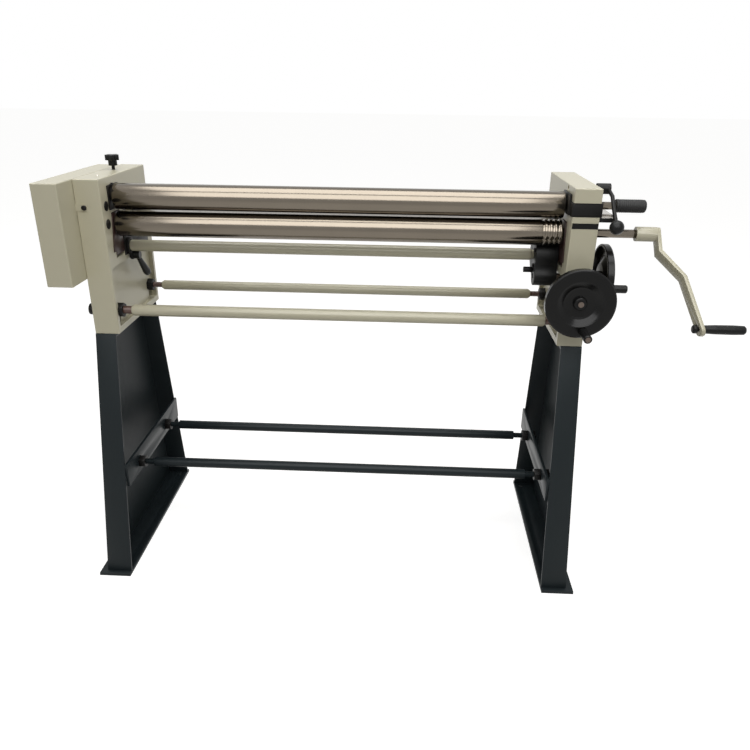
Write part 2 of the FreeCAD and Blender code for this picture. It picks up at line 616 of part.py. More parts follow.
COVER_LOW = ("-cover_front", "cover_bottom")
COVER_HIGH = ("head_depth-cover_rear", HEAD_TOP)
cover_shell = side_block("cover_shell", LEFT, "head_thick", "head_thick+cover_width", COVER_LOW, COVER_HIGH)
cover_shell = rounded("cover_rounded", cover_shell, size("head_fillet"),
                      lambda edge, p: p.y < number("-cover_front+1") or p.z > number(HEAD_TOP) - 1
                      or p.x < number(f"-{INNER}-head_thick-cover_width+1"))
cover_room = side_block("cover_room", LEFT, "head_thick-1", "head_thick+cover_width-cover_sheet",
                        ("cover_sheet", "cover_bottom+cover_sheet"),
                        ("head_depth-cover_rear-cover_sheet", f"{HEAD_TOP}-cover_sheet"))
cover_nose = side_block("cover_nose", LEFT, "head_thick+cover_sheet", "head_thick+cover_width-cover_sheet",
                        ("-cover_front+cover_sheet", "cover_bottom+cover_sheet"),
                        ("cover_sheet+1", f"{HEAD_TOP}-cover_sheet"))
cover_tab = side_block("cover_tab", LEFT, "head_thick-2*tab_reach", "head_thick",
                       ("-cover_sheet", "top_axis_z-20-tab_height/2"), (0, "top_axis_z-20+tab_height/2"))
tab_hole = rod("tab_hole", "cover_screw_radius*0.6", "cover_sheet+2",
               (f"-{INNER}-head_thick+tab_reach*1.6", "-cover_sheet-1", "top_axis_z-20"), ALONG_Y)
gear_cover = cut("gear_cover", join("cover_folded", cut("cover_open", cover_shell, cover_room, cover_nose),
                                    cover_tab), tab_hole)
cover_screw_x = f"-{INNER}-head_thick+tab_reach*1.6"
cover_screw = join("cover_screw",
                   rod("cover_screw_head", "cover_screw_radius", "cover_screw_radius",
                       (cover_screw_x, "-cover_sheet-cover_screw_radius", "top_axis_z-20"), ALONG_Y),
                   rod("cover_screw_shank", "cover_screw_radius*0.6", 20,
                       (cover_screw_x, "-cover_sheet-1", "top_axis_z-20"), ALONG_Y))

wall_plugs = group("wall_plugs",
                   side_rod("plug_1", LEFT, "plug_radius", -2, "plug_depth", "plug_radius*2+2", "top_axis_z-20"),
                   side_rod("plug_2", LEFT, "plug_radius", -2, "plug_depth", "plug_radius*2", "top_axis_z-71"))


# Top roll: its left journal turns in a ball, and its right block slides out of the head's open slot
def roll(name, z, left_end, right_parts):
    body = rod(f"{name}_barrel", "roll_radius", "roll_length", ("-roll_length/2", "roll_y", z))
    left_neck = side_rod(f"{name}_left_neck", LEFT, "journal_radius", "-roll_end_gap-1", left_end, "roll_y", z)
    return join(name, body, left_neck, *right_parts)


top_tongue = side_block("top_tongue", LEFT, "ball_depth+ball_width/2-1", "tongue_end",
                        ("roll_y-tongue_width/2", "top_axis_z-tongue_thick/2"),
                        ("roll_y+tongue_width/2", "top_axis_z+tongue_thick/2"))
top_right_neck = side_rod("top_right_neck", RIGHT, "journal_radius", "-roll_end_gap-1",
                          "head_thick+top_block_outer+5", "roll_y", "top_axis_z")
top_grip_neck = side_rod("top_grip_neck", RIGHT, "grip_neck_radius", "head_thick+top_block_outer",
                         "head_thick+grip_start+grip_length-8", "roll_y", "top_axis_z")
top_roll = roll("top_roll", "top_axis_z", "ball_depth+ball_width/2", (top_tongue, top_right_neck, top_grip_neck))

grip_outline = [(0, "grip_neck_radius"), (0, "grip_radius"), ("grip_length-7", "grip_radius"),
                ("grip_length-2", "grip_radius-3"), ("grip_length", "grip_radius-7"), ("grip_length", 0),
                ("grip_length-8", 0), ("grip_length-8", "grip_neck_radius")]
top_roll_grip = turned("top_roll_grip", grip_outline,
                       (f"{INNER}+head_thick+grip_start", "roll_y", "top_axis_z"))

ball_slice = side_block("ball_slice", LEFT, "ball_depth-ball_width/2", "ball_depth+ball_width/2",
                        ("roll_y-ball_radius-1", "top_axis_z-ball_radius-1"),
                        ("roll_y+ball_radius+1", "top_axis_z+ball_radius+1"))
ball_body = common("ball_body", ball("ball_round", "ball_radius",
                                     (f"-{INNER}-ball_depth", "roll_y", "top_axis_z")), ball_slice)
top_left_ball = cut("top_left_ball", ball_body,
                    side_rod("ball_bore", LEFT, "journal_radius+running_fit", 0, "head_thick",
                             "roll_y", "top_axis_z"))

seat_ring = side_rod("seat_ring", LEFT, "seat_radius", "ball_depth-seat_width/2", "ball_depth+seat_width/2",
                     "roll_y", "top_axis_z")
top_left_seat = cut("top_left_seat", seat_ring,
                    ball("seat_hollow", "ball_radius+seat_gap", (f"-{INNER}-ball_depth", "roll_y", "top_axis_z")),
                    side_rod("seat_way", LEFT, "journal_radius+8", -1, "head_thick", "roll_y", "top_axis_z"))
seat_plate = cut("seat_plate",
                 side_block("seat_plate_body", LEFT, "-seat_plate_thick", 0,
                            ("roll_y-seat_plate_front", "top_axis_z-seat_plate_half"),
                            ("roll_y+seat_plate_rear", "top_axis_z+seat_plate_half")),
                 side_rod("seat_plate_hole", LEFT, "journal_radius+8", "-seat_plate_thick-1", 1,
                          "roll_y", "top_axis_z"))

stub_bar = side_rod("stub_bar", LEFT, "stub_radius", "stub_start", "stub_end", "roll_y", "top_axis_z")
stub_slot = side_block("stub_slot", LEFT, "stub_start-1", "slot_end",
                       ("roll_y-stub_radius-1", "top_axis_z-tongue_thick/2-seat_gap"),
                       ("roll_y+stub_radius+1", "top_axis_z+tongue_thick/2+seat_gap"))
top_stub_shaft = cut("top_stub_shaft", stub_bar, stub_slot)

block_body = side_block("top_block_body", RIGHT, "-top_block_inner", "head_thick+top_block_outer",
                        ("roll_y-top_block_front", "top_axis_z-top_block_half"),
                        ("roll_y+top_block_rear", "top_axis_z+top_block_half"))
block_flange = side_block("top_block_flange", RIGHT, "-top_flange_thick", "-top_flange_gap",
                          ("roll_y-top_flange_front", "top_axis_z-top_block_half"),
                          ("roll_y+top_flange_rear", "top_axis_z+top_flange_above"))
top_right_block = cut("top_right_block", join("top_block_flanged", block_body, block_flange),
                      side_rod("top_block_bore", RIGHT, "journal_radius+running_fit", "-top_flange_thick-1",
                               "head_thick+top_block_outer+1", "roll_y", "top_axis_z"))
ledge_top = "top_axis_z-slot_half"
slot_ledge = side_block("slot_ledge", RIGHT, "head_thick", "head_thick+ledge_width",
                        (4, f"{ledge_top}-ledge_thick"), ("4+ledge_depth", ledge_top))


# Cam lever: a lobe on its cross bar presses the top block down in the slot
cam_bar = side_rod("cam_bar", RIGHT, "cam_radius", 4, "head_thick+lever_hub_length+4", "cam_y", "cam_z")
lobe = bar("lobe", RIGHT, "lobe_depth", "lobe_depth+lobe_width", ("cam_y", "cam_z"),
           ("cam_y", f"cam_z-{LOBE_REACH}+4"), 7, 5)
lobe_tip = side_rod("lobe_tip", RIGHT, 4, "lobe_depth", "lobe_depth+lobe_width", "cam_y",
                    f"cam_z-{LOBE_REACH}+4")
cam_shaft = join("cam_shaft", cam_bar, lobe, lobe_tip)
cam_hub = side_rod("cam_hub", RIGHT, "lever_hub_radius", "head_thick+4", "head_thick+4+lever_hub_length",
                   "cam_y", "cam_z")
lever_x = number(f"{INNER}+head_thick+lever_offset")
lever_path = [Vector(lever_x, size("cam_y"), size("cam_z")),
              Vector(lever_x, size("lever_knee_y"), size("lever_knee_z")),
              Vector(lever_x, size("lever_bend_y"), size("lever_bend_z")),
              Vector(lever_x, size("lever_ball_y"), size("lever_ball_z"))]


def lever_stretch(name, index, shorter=0):
    """One straight stretch of the bent lever."""
    start, end = lever_path[index], lever_path[index + 1]
    stretch = rod(name, "lever_radius", (end - start).Length - shorter, (0, 0, 0))
    return set_at(stretch, start, Rotation(Vector(0, 0, 1), end - start))


arm_pieces = [lever_stretch("lever_first", 0), lever_stretch("lever_second", 1),
              lever_stretch("lever_third", 2, size("lever_ball_radius") * 0.4)]
for index in (1, 2):
    arm_pieces.append(set_at(ball(f"lever_knuckle_{index}", "lever_radius+0.01", (0, 0, 0)), lever_path[index]))
cam_lever = cut("cam_lever", join("cam_lever_body", cam_hub, *arm_pieces),
                side_rod("cam_hub_bore", RIGHT, "cam_radius", "head_thick", "head_thick+lever_hub_length+6",
                         "cam_y", "cam_z"))
cam_sphere = set_at(ball("cam_sphere", "lever_ball_radius", (0, 0, 0)), lever_path[3])
cam_ball = cut("cam_ball", cam_sphere, lever_stretch("ball_socket", 2, size("lever_ball_radius") * 0.4))


# Lower roll: it turns in two blocks that rise together, and its right end is the crank shaft
lower_right_neck = side_rod("lower_right_neck", RIGHT, "journal_radius", "-roll_end_gap-1",
                            "head_thick-block_end_wall-1", "roll_y", LOWER_Z)
crank_neck = side_rod("crank_neck", RIGHT, "crank_shaft_radius", "head_thick-block_end_wall-2",
                      "head_thick+crank_hub_start+crank_hub_length", "roll_y", LOWER_Z)


def wire_groove(index):
    """One ring groove near the right end of the lower roll."""
    x = f"roll_length/2-{index}*groove_pitch"
    outer = rod(f"groove_outer_{index}", "roll_radius+2", "groove_width", (x, "roll_y", LOWER_Z))
    inner = rod(f"groove_inner_{index}", "groove_radius", "groove_width+2", (f"{x}-1", "roll_y", LOWER_Z))
    return cut(f"wire_groove_{index}", outer, inner)


lower_roll = cut("lower_roll", roll("lower_roll_turned", LOWER_Z, "stub_end", (lower_right_neck, crank_neck)),
                 *[wire_groove(index) for index in (1, 2, 3, 4)])


def lower_block(name, side):
    body = side_block(f"{name}_body", side, "-block_proud", "head_thick-block_end_wall-1",
                      ("roll_y-block_width/2", f"{LOWER_Z}-block_below"),
                      ("roll_y+block_width/2", f"{LOWER_Z}+block_above"))
    flange = bar(f"{name}_flange", side, "-block_flange", "-seat_gap",
                 ("roll_y-block_width/2+block_flange_top", f"{LOWER_Z}+block_above"),
                 ("roll_y+block_width/2-2-block_flange_foot", f"{LOWER_Z}-block_below+block_end_wall"),
                 "block_flange_top", "block_flange_foot")
    return cut(name, join(f"{name}_flanged", body, flange),
               side_rod(f"{name}_bore", side, "journal_radius+running_fit", "-block_flange-1", "head_thick",
                        "roll_y", LOWER_Z))


lower_left_block = lower_block("lower_left_block", LEFT)
lower_right_block = lower_block("lower_right_block", RIGHT)

ARM_TOP = "(press_z+arm_nose_radius+seat_gap)"
push_rods = group("push_rods", *[
    rod(f"{word}_push_rod", "push_rod_radius", f"{LOWER_Z}-block_below-{ARM_TOP}",
        (f"{side}*({INNER}+push_rod_depth)", "roll_y", ARM_TOP), ALONG_Z)
    for side, word in ((LEFT, "left"), (RIGHT, "right"))])

# Pressure shaft: the front cross shaft, whose arms lift both push rods alike
press_bar = rod("press_bar", "press_radius", f"2*({INNER}+recess_depth-press_neck_length-press_collar_length)",
                (f"-{INNER}-recess_depth+press_neck_length+press_collar_length", "press_y", "press_z"))
press_core = rod("press_core", "press_neck_radius", f"{INNER}*2+head_thick+15+{CAVITY_FAR}-2",
                 (f"-{INNER}-head_thick-15", "press_y", "press_z"))
pressure_shaft = join("pressure_shaft", press_bar, press_core)
collars = [drilled_nut(f"{word}_collar", side, "recess_depth-press_collar_length-seat_gap",
                       "recess_depth-seat_gap", "press_y", "press_z", "2*press_collar_radius*0.93",
                       "press_neck_radius")
           for side, word in ((LEFT, "left"), (RIGHT, "right"))]
end_cap = cut("end_cap", side_rod("end_cap_body", LEFT, "press_neck_radius+5", "head_thick+seat_gap",
                                  "head_thick+19", "press_y", "press_z"),
              side_rod("end_cap_bore", LEFT, "press_neck_radius", "head_thick-1", "head_thick+15",
                       "press_y", "press_z"))
shaft_collars = group("shaft_collars", *collars, end_cap)


def lift_arm(name, side, upright):
    """A lever on the pressure shaft whose round nose carries a push rod."""
    near, far = "push_rod_depth-arm_thick/2", "push_rod_depth+arm_thick/2-1"
    hub = side_rod(f"{name}_hub", side, "arm_hub_radius", near, far, "press_y", "press_z")
    nose = side_rod(f"{name}_nose", side, "arm_nose_radius", near, far, "roll_y", "press_z")
    web = bar(f"{name}_web", side, near, far, ("press_y", "press_z"), ("roll_y", "press_z"),
              "arm_nose_radius-1", "arm_nose_radius-3")
    pieces, tools = [hub, nose, web], [side_rod(f"{name}_bore", side, "press_neck_radius", f"{near}-1",
                                                f"{far}+1", "press_y", "press_z")]
    if upright:
        pieces.append(side_rod(f"{name}_eye", side, "nut_pin_radius+7", near, far, "press_y", "screw_z"))
        pieces.append(bar(f"{name}_upright", side, near, far, ("press_y", "press_z"), ("press_y", "screw_z"),
                          "arm_hub_radius*0.8", "nut_pin_radius+7"))
        tools.append(side_block(f"{name}_slot", side, f"{near}-1", f"{far}+1",
                                ("press_y-nut_pin_radius-seat_gap", "screw_z-nut_pin_radius-3"),
                                ("press_y+nut_pin_radius+seat_gap", "screw_z+nut_pin_radius+12")))
    return cut(name, join(f"{name}_body", *pieces), *tools)


left_lift_arm = lift_arm("left_lift_arm", LEFT, False)
bell_crank = lift_arm("bell_crank", RIGHT, True)

# Pressure screw and its nut, whose pin works the bell crank
screw_x = f"{INNER}+screw_depth"
pressure_screw = rod("pressure_screw", "screw_radius", "front_wheel_gap+hub_length+screw_reach",
                     (screw_x, "-front_wheel_gap-hub_length", "screw_z"), ALONG_Y)
nut_near, nut_far = "screw_depth-nut_depth/2+1", "screw_depth+nut_depth/2"
nut_body = side_block("nut_body", RIGHT, nut_near, nut_far, ("press_y-nut_length/2", "screw_z-nut_height/2"),
                      ("press_y+nut_length/2", "screw_z+nut_height/2"))
nut_pin = side_rod("nut_pin", RIGHT, "nut_pin_radius", f"{nut_far}-1", "push_rod_depth+arm_thick/2-2",
                   "press_y", "screw_z")
pressure_nut = cut("pressure_nut", join("nut_with_pin", nut_body, nut_pin),
                   rod("nut_bore", "screw_radius+running_fit", "nut_length+2",
                       (screw_x, "press_y-nut_length/2-1", "screw_z"), ALONG_Y))


# Hand wheels: dished discs, hollow behind, with a flat front rim, a hub and a turning grip
WHEEL_OUTLINE = [
    (0, "screw_radius"), (0, "hub_radius"), ("hub_length-dish_depth-web_thick-1", "hub_radius+1"),
    ("hub_length-dish_depth-web_thick", "dish_floor-3"), ("hub_length-web_thick-2", "dish_radius+2"),
    ("hub_length-web_thick-1", "wheel_radius-10"), ("hub_length-rim_width", "wheel_radius-7"),
    ("hub_length-rim_width", "wheel_radius-2"), ("hub_length-rim_width+2", "wheel_radius"),
    ("hub_length-4", "wheel_radius"), ("hub_length-1", "wheel_radius-3"), ("hub_length", "wheel_radius-8"),
    ("hub_length", "dish_radius+2"), ("hub_length-2", "dish_radius-2"),
    ("hub_length-dish_depth+2", "dish_floor+3"), ("hub_length-dish_depth", "dish_floor-3"),
    ("hub_length-dish_depth-1", "hub_radius+2"), ("hub_length-dish_depth+2", "hub_radius"),
    ("hub_length-5", "hub_radius"), ("hub_length-3", "hub_radius-2"), ("hub_length-3", "screw_radius")]


def hand_wheel(name, at, turn, bore):
    outline = [(x, bore if r == "screw_radius" else r) for x, r in WHEEL_OUTLINE]
    return turned(name, outline, at, turn)


def grip_with_bolt(name, length, face, turn):
    """A plain round grip on a shouldered bolt screwed into a wheel's face."""
    outline = [(0, "grip_bolt_radius+running_fit"), (0, "wheel_grip_radius-2"), (3, "wheel_grip_radius"),
               (f"{length}-3", "wheel_grip_radius"), (length, "wheel_grip_radius-2"),
               (length, "grip_bolt_radius+4.3"), (f"{length}-3", "grip_bolt_radius+4.3"),
               (f"{length}-3", "grip_bolt_radius+running_fit")]
    grip = turned(name, outline, face, turn)
    whole = f"{length}+grip_bolt_sink"
    bolt_outline = [(0, 0), (0, "grip_bolt_radius"), (f"{whole}-2.7", "grip_bolt_radius"),
                    (f"{whole}-2.7", "grip_bolt_radius+3.5"), (whole, "grip_bolt_radius+3.5"), (whole, 0)]
    return grip, bolt_outline


TOWARDS_FRONT = Rotation(Vector(0, 0, 1), -90)
front_blank = hand_wheel("front_wheel_disc", (screw_x, "-front_wheel_gap", "screw_z"), TOWARDS_FRONT,
                         "screw_radius")
front_grip_x = f"{screw_x}+wheel_grip_circle*sin(front_grip_angle*1deg)"
front_grip_z = "screw_z-wheel_grip_circle*cos(front_grip_angle*1deg)"
front_wheel = cut("front_wheel", front_blank,
                  rod("front_grip_hole", "grip_bolt_radius", "hub_length+4",
                      (front_grip_x, "-front_wheel_gap-hub_length-2", front_grip_z), ALONG_Y))
front_wheel_grip, bolt_outline = grip_with_bolt(
    "front_wheel_grip", "wheel_grip_length",
    (front_grip_x, "-front_wheel_gap-hub_length-seat_gap", front_grip_z), TOWARDS_FRONT)
front_grip_bolt = turned("front_grip_bolt", bolt_outline,
                         (front_grip_x, "-front_wheel_gap-hub_length-seat_gap+grip_bolt_sink", front_grip_z),
                         TOWARDS_FRONT)

side_face = f"{INNER}+head_thick+side_wheel_gap"
side_blank = hand_wheel("side_wheel_disc", (side_face, "wheel_shaft_y", WHEEL_SHAFT_Z), ALONG_Z,
                        "wheel_shaft_radius")
side_grip_y = "wheel_shaft_y-wheel_grip_circle*cos(side_grip_angle*1deg)"
side_grip_z = f"{WHEEL_SHAFT_Z}-wheel_grip_circle*sin(side_grip_angle*1deg)"
side_wheel = cut("side_wheel", side_blank,
                 rod("side_grip_hole", "grip_bolt_radius", "hub_length+4",
                     (f"{side_face}-2", side_grip_y, side_grip_z)))
side_wheel_grip, bolt_outline = grip_with_bolt(
    "side_wheel_grip", "side_grip_length",
    (f"{side_face}+hub_length+seat_gap", side_grip_y, side_grip_z), ALONG_Z)
side_grip_bolt = turned("side_grip_bolt", bolt_outline,
                        (f"{side_face}+hub_length+seat_gap-grip_bolt_sink", side_grip_y, side_grip_z), ALONG_Z)

# Side shaft: from the side wheel through the right head to the pinion in the housing
side_shaft = rod("side_shaft", "wheel_shaft_radius", "wheel_shaft_reach+head_thick+side_wheel_gap+hub_length",
                 (f"{INNER}-wheel_shaft_reach", "wheel_shaft_y", WHEEL_SHAFT_Z))
GEAR_X = f"{INNER}-gear_start-gear_width"


def swing_gear_shape(teeth, width, start_angle):
    module = size("gear_module")
    return gear_shape(teeth, module * teeth / 2, module * 0.95, module * 1.25, module * math.pi / 2 - 0.16,
                      width, start_angle)


centre_way = Vector(0, size("wheel_shaft_y") - size("swing_y"), number(WHEEL_SHAFT_Z) - size("swing_z"))
gear_angle = math.atan2(centre_way.z, centre_way.y)
pinion_teeth, gear_teeth = int(size("pinion_teeth")), int(size("gear_teeth"))
swing_gear = gear("swing_gear", swing_gear_shape(gear_teeth, size("gear_width"), gear_angle),
                  GEAR_X, "swing_y", "swing_z", "swing_neck_radius")
swing_pinion = gear("swing_pinion", swing_gear_shape(pinion_teeth, size("gear_width") - 2,
                                                     gear_angle + math.pi + math.pi / pinion_teeth),
                    f"{GEAR_X}+1", "wheel_shaft_y", WHEEL_SHAFT_Z, "wheel_shaft_radius")

# Swing shaft: the rear cross shaft, whose arms carry the rear roll
swing_bar = rod("swing_bar", "swing_radius", f"2*{INNER}-swing_left_end-swing_right_end",
                (f"-{INNER}+swing_left_end", "swing_y", "swing_z"))
swing_core = rod("swing_core", "swing_neck_radius", f"2*({INNER}+swing_arm_start+swing_arm_thick)",
                 (f"-{INNER}-swing_arm_start-swing_arm_thick", "swing_y", "swing_z"))
swing_shaft = join("swing_shaft", swing_bar, swing_core)


def swing_arm(name, side):
    near, far = "swing_arm_start", "swing_arm_start+swing_arm_thick"
    hub = side_rod(f"{name}_hub", side, "swing_hub_radius", near, far, "swing_y", "swing_z")
    eye = side_rod(f"{name}_eye", side, "swing_eye_radius", near, far, REAR_Y, REAR_Z)
    web = bar(f"{name}_web", side, near, far, ("swing_y", "swing_z"), (REAR_Y, REAR_Z),
              "swing_hub_radius*0.8", "swing_eye_radius*0.8")
    bores = [side_rod(f"{name}_hub_bore", side, "swing_neck_radius", f"{near}-1", f"{far}+1", "swing_y", "swing_z"),
             side_rod(f"{name}_eye_bore", side, "journal_radius+running_fit", f"{near}-1", f"{far}+1",
                      REAR_Y, REAR_Z)]
    return cut(name, join(f"{name}_body", hub, eye, web), *bores)


swing_arms = group("swing_arms", swing_arm("left_swing_arm", LEFT), swing_arm("right_swing_arm", RIGHT))
rear_roll = join("rear_roll",
                 rod("rear_barrel", "roll_radius", "roll_length", ("-roll_length/2", REAR_Y, REAR_Z)),
                 rod("rear_core", "journal_radius", f"2*({INNER}+swing_arm_start+swing_arm_thick)",
                     (f"-{INNER}-swing_arm_start-swing_arm_thick", REAR_Y, REAR_Z)))


def wear_plate(name, side):
    """The dark plate round the rear journal's window."""
    plate = side_block(f"{name}_body", side, "-wear_plate_thick", 0,
                       (f"{POCKET_REAR}+wear_plate_gap", "swing_z-wear_plate_below"),
                       (f"{REAR_Y}+swing_eye_radius+wear_plate_rear", "swing_z+wear_plate_above"))
    tools = [arc_slot(f"{name}_arc", side),
             side_rod(f"{name}_hole", side, "swing_radius+1", "-wear_plate_thick-1", 1, "swing_y", "swing_z")]
    return cut(name, plate, *tools)


wear_plates = group("wear_plates", wear_plate("left_wear_plate", LEFT), wear_plate("right_wear_plate", RIGHT))

# Housing on the right head over the swing gear and its pinion
HOUSING_NEAR, HOUSING_FAR = "-housing_length", "-wear_plate_thick"
GEAR_TIP = "(gear_module*(gear_teeth/2+1))"
PINION_TIP = "(gear_module*(pinion_teeth/2+1))"


def housing_form(name, near, far, grow):
    big = side_rod(f"{name}_big", RIGHT, f"{GEAR_TIP}+{grow}", near, far, "swing_y", "swing_z")
    small = side_rod(f"{name}_small", RIGHT, f"{PINION_TIP}+{grow}", near, far, "wheel_shaft_y", WHEEL_SHAFT_Z)
    web = bar(f"{name}_web", RIGHT, near, far, ("swing_y", "swing_z"), ("wheel_shaft_y", WHEEL_SHAFT_Z),
              f"({GEAR_TIP}+{grow})*0.85", f"({PINION_TIP}+{grow})*0.95")
    return join(name, big, small, web)


housing_outer = housing_form("housing_outer", HOUSING_NEAR, HOUSING_FAR, "housing_clearance+housing_wall")
housing_inner = housing_form("housing_inner", f"{HOUSING_NEAR}+housing_wall+10", f"{HOUSING_FAR}+1",
                             "housing_clearance")
gear_housing = cut("gear_housing", housing_outer, housing_inner,
                   side_rod("housing_swing_hole", RIGHT, "swing_neck_radius+running_fit", f"{HOUSING_NEAR}-1", 0,
                            "swing_y", "swing_z"),
                   side_rod("housing_wheel_hole", RIGHT, "wheel_shaft_radius+running_fit", f"{HOUSING_NEAR}-1", 0,
                            "wheel_shaft_y", WHEEL_SHAFT_Z))

# Bushes: bronze sleeves where shafts turn in the castings
def bush(name, side, radius, near, far, y, z):
    blank = side_rod(f"{name}_blank", side, f"{radius}+bush_wall", near, far, y, z)
    return cut(name, blank, side_rod(f"{name}_bore", side, f"{radius}+running_fit", f"{near}-1", f"{far}+1", y, z))


bushes = []
for side, word in ((LEFT, "left"), (RIGHT, "right")):
    bushes.append(bush(f"{word}_swing_bush", side, "swing_neck_radius", 0, "wall_near", "swing_y", "swing_z"))
    bushes.append(bush(f"{word}_press_bush", side, "press_neck_radius", "recess_depth", "wall_near",
                       "press_y", "press_z"))
bushes.append(bush("stub_bush", LEFT, "stub_radius", "stub_start+2", "head_thick", "roll_y", "top_axis_z"))
bushes.append(bush("wheel_bush", RIGHT, "wheel_shaft_radius", CAVITY_FAR, "head_thick+4",
                   "wheel_shaft_y", WHEEL_SHAFT_Z))
screw_bush_blank = rod("screw_bush_blank", "screw_radius+bush_wall", "wall_front+4",
                       (screw_x, -4, "screw_z"), ALONG_Y)
bushes.append(cut("screw_bush", screw_bush_blank,
                  rod("screw_bush_bore", "screw_radius+running_fit", "wall_front+8",
                      (screw_x, -6, "screw_z"), ALONG_Y)))
shaft_bushes = group("shaft_bushes", *bushes)

# Crank: a hub, an offset flat bar and a turning grip
CRANK_X = f"({INNER}+head_thick+crank_hub_start+crank_hub_length)"
crank_turn = Rotation(Vector(1, 0, 0), -size("crank_angle"))
crank_outline = [
    (0, "crank_width/2"), (0, "-crank_bend_start"), ("crank_offset", "-crank_bend_end"),
    ("crank_offset+crank_flare", "-crank_reach-crank_width/2"),
    ("crank_offset+crank_flare+crank_thick", "-crank_reach-crank_width/2"),
    ("crank_offset+crank_thick", "-crank_bend_end+2"), ("crank_thick", "-crank_bend_start+4"),
    ("crank_thick", "crank_width/2")]
crank_bar = milled("crank_bar", crank_outline, "crank_width", (CRANK_X, "roll_y", LOWER_Z), crank_turn)


def bar_end(edge, p):
    """True for the four corner edges at the two ends of the crank's bar."""
    local = crank_turn.inverted().multVec(p - Vector(0, size("roll_y"), number(LOWER_Z)))
    half = size("crank_width") / 2
    at_end = local.z > half - 0.5 or local.z < -size("crank_reach") - half + 0.5
    return at_end and abs(abs(local.y) - half) < 0.5


crank_rounded = rounded("crank_rounded", crank_bar, size("crank_width") * 0.42, bar_end)
crank_down = Vector(0, -math.sin(math.radians(size("crank_angle"))), -math.cos(math.radians(size("crank_angle"))))
crank_eye = Vector(number(f"{CRANK_X}+crank_offset+crank_flare*0.8"), size("roll_y"), number(LOWER_Z))
crank_eye = crank_eye + crank_down * size("crank_reach")
crank_hub = side_rod("crank_hub", RIGHT, "crank_hub_radius", "head_thick+crank_hub_start",
                     "head_thick+crank_hub_start+crank_hub_length+1", "roll_y", LOWER_Z)
grip_bore = rod("crank_grip_bore", "crank_bolt_radius", "2*crank_flare", (0, 0, 0))
set_at(grip_bore, crank_eye - Vector(size("crank_flare"), 0, 0), ALONG_X)
crank_arm = cut("crank_arm", join("crank_body", crank_rounded, crank_hub),
                side_rod("crank_bore", RIGHT, "crank_shaft_radius", "head_thick",
                         "head_thick+crank_hub_start+crank_hub_length", "roll_y", LOWER_Z), grip_bore)
grip_outline = [(0, "crank_bolt_radius+running_fit"), (0, "crank_grip_radius-2"),
                ("crank_grip_length*0.25", "crank_grip_radius-0.5"), ("crank_grip_length*0.7", "crank_grip_radius"),
                ("crank_grip_length-4", "crank_grip_radius-1"), ("crank_grip_length", "crank_grip_radius-4"),
                ("crank_grip_length", 0), ("crank_grip_length-6", 0),
                ("crank_grip_length-6", "crank_bolt_radius+running_fit")]
crank_grip = turned("crank_grip", grip_outline, (0, 0, 0))
set_at(crank_grip, crank_eye + Vector(size("crank_grip_gap"), 0, 0))
bolt_outline = [(0, 0), (0, "crank_nut_radius-3"), (3, "crank_nut_radius"),
                ("crank_nut_thick", "crank_nut_radius"), ("crank_nut_thick", "crank_bolt_radius"),
                ("crank_bolt_length", "crank_bolt_radius"), ("crank_bolt_length", 0)]
crank_grip_bolt = turned("crank_grip_bolt", bolt_outline, (0, 0, 0))
set_at(crank_grip_bolt, crank_eye - Vector(size("crank_nut_gap"), 0, 0))

# Lock lever on the left head, which clamps the swing shaft
lock_near, lock_far = "-lock_bracket_thick-wear_plate_thick", "-wear_plate_thick"
lock_bracket = cut("lock_bracket",
                   join("lock_bracket_body",
                        side_rod("lock_ring", LEFT, "swing_radius+7", lock_near, lock_far, "swing_y", "swing_z"),
                        side_rod("lock_boss", LEFT, "lock_hub_radius+2", lock_near, lock_far, "lock_y", "lock_z"),
                        bar("lock_web", LEFT, lock_near, lock_far, ("swing_y", "swing_z"), ("lock_y", "lock_z"),
                            "swing_radius+2", "lock_hub_radius+1")),
                   side_rod("lock_ring_bore", LEFT, "swing_radius+0.5", f"{lock_near}-1", 1,
                            "swing_y", "swing_z"),
                   side_rod("lock_pin_bore", LEFT, "lock_pin_radius+running_fit", f"{lock_near}-1", 1,
                            "lock_y", "lock_z"))
lock_angle = math.radians(size("lock_droop"))
lock_way = Vector(0, math.cos(lock_angle), -math.sin(lock_angle))
lock_pivot = Vector(number(f"-{INNER}-({lock_near})+lock_hub_length/2+1"), size("lock_y"), size("lock_z"))
lock_pin = side_rod("lock_pin", LEFT, "lock_pin_radius", f"{lock_near}-lock_hub_length-1", "-wear_plate_thick",
                    "lock_y", "lock_z")
lock_hub = side_rod("lock_hub", LEFT, "lock_hub_radius", f"{lock_near}-lock_hub_length-1", f"{lock_near}-1",
                    "lock_y", "lock_z")
lock_outline = [(0, 0), (0, "lock_neck_radius"), ("lock_reach*0.18", "lock_neck_radius"),
                ("lock_reach*0.2", "lock_radius*0.6"), ("lock_reach-4", "lock_radius"),
                ("lock_reach+lock_radius*0.45", "lock_radius*0.88"),
                ("lock_reach+lock_radius*0.8", "lock_radius*0.6"), ("lock_reach+lock_radius", "lock_radius*0.2"),
                ("lock_reach+lock_radius", 0)]
lock_arm = turned("lock_arm", lock_outline, (0, 0, 0))
set_at(lock_arm, lock_pivot, Rotation(Vector(1, 0, 0), lock_way))
lock_lever = join("lock_lever", lock_pin, lock_hub, lock_arm)

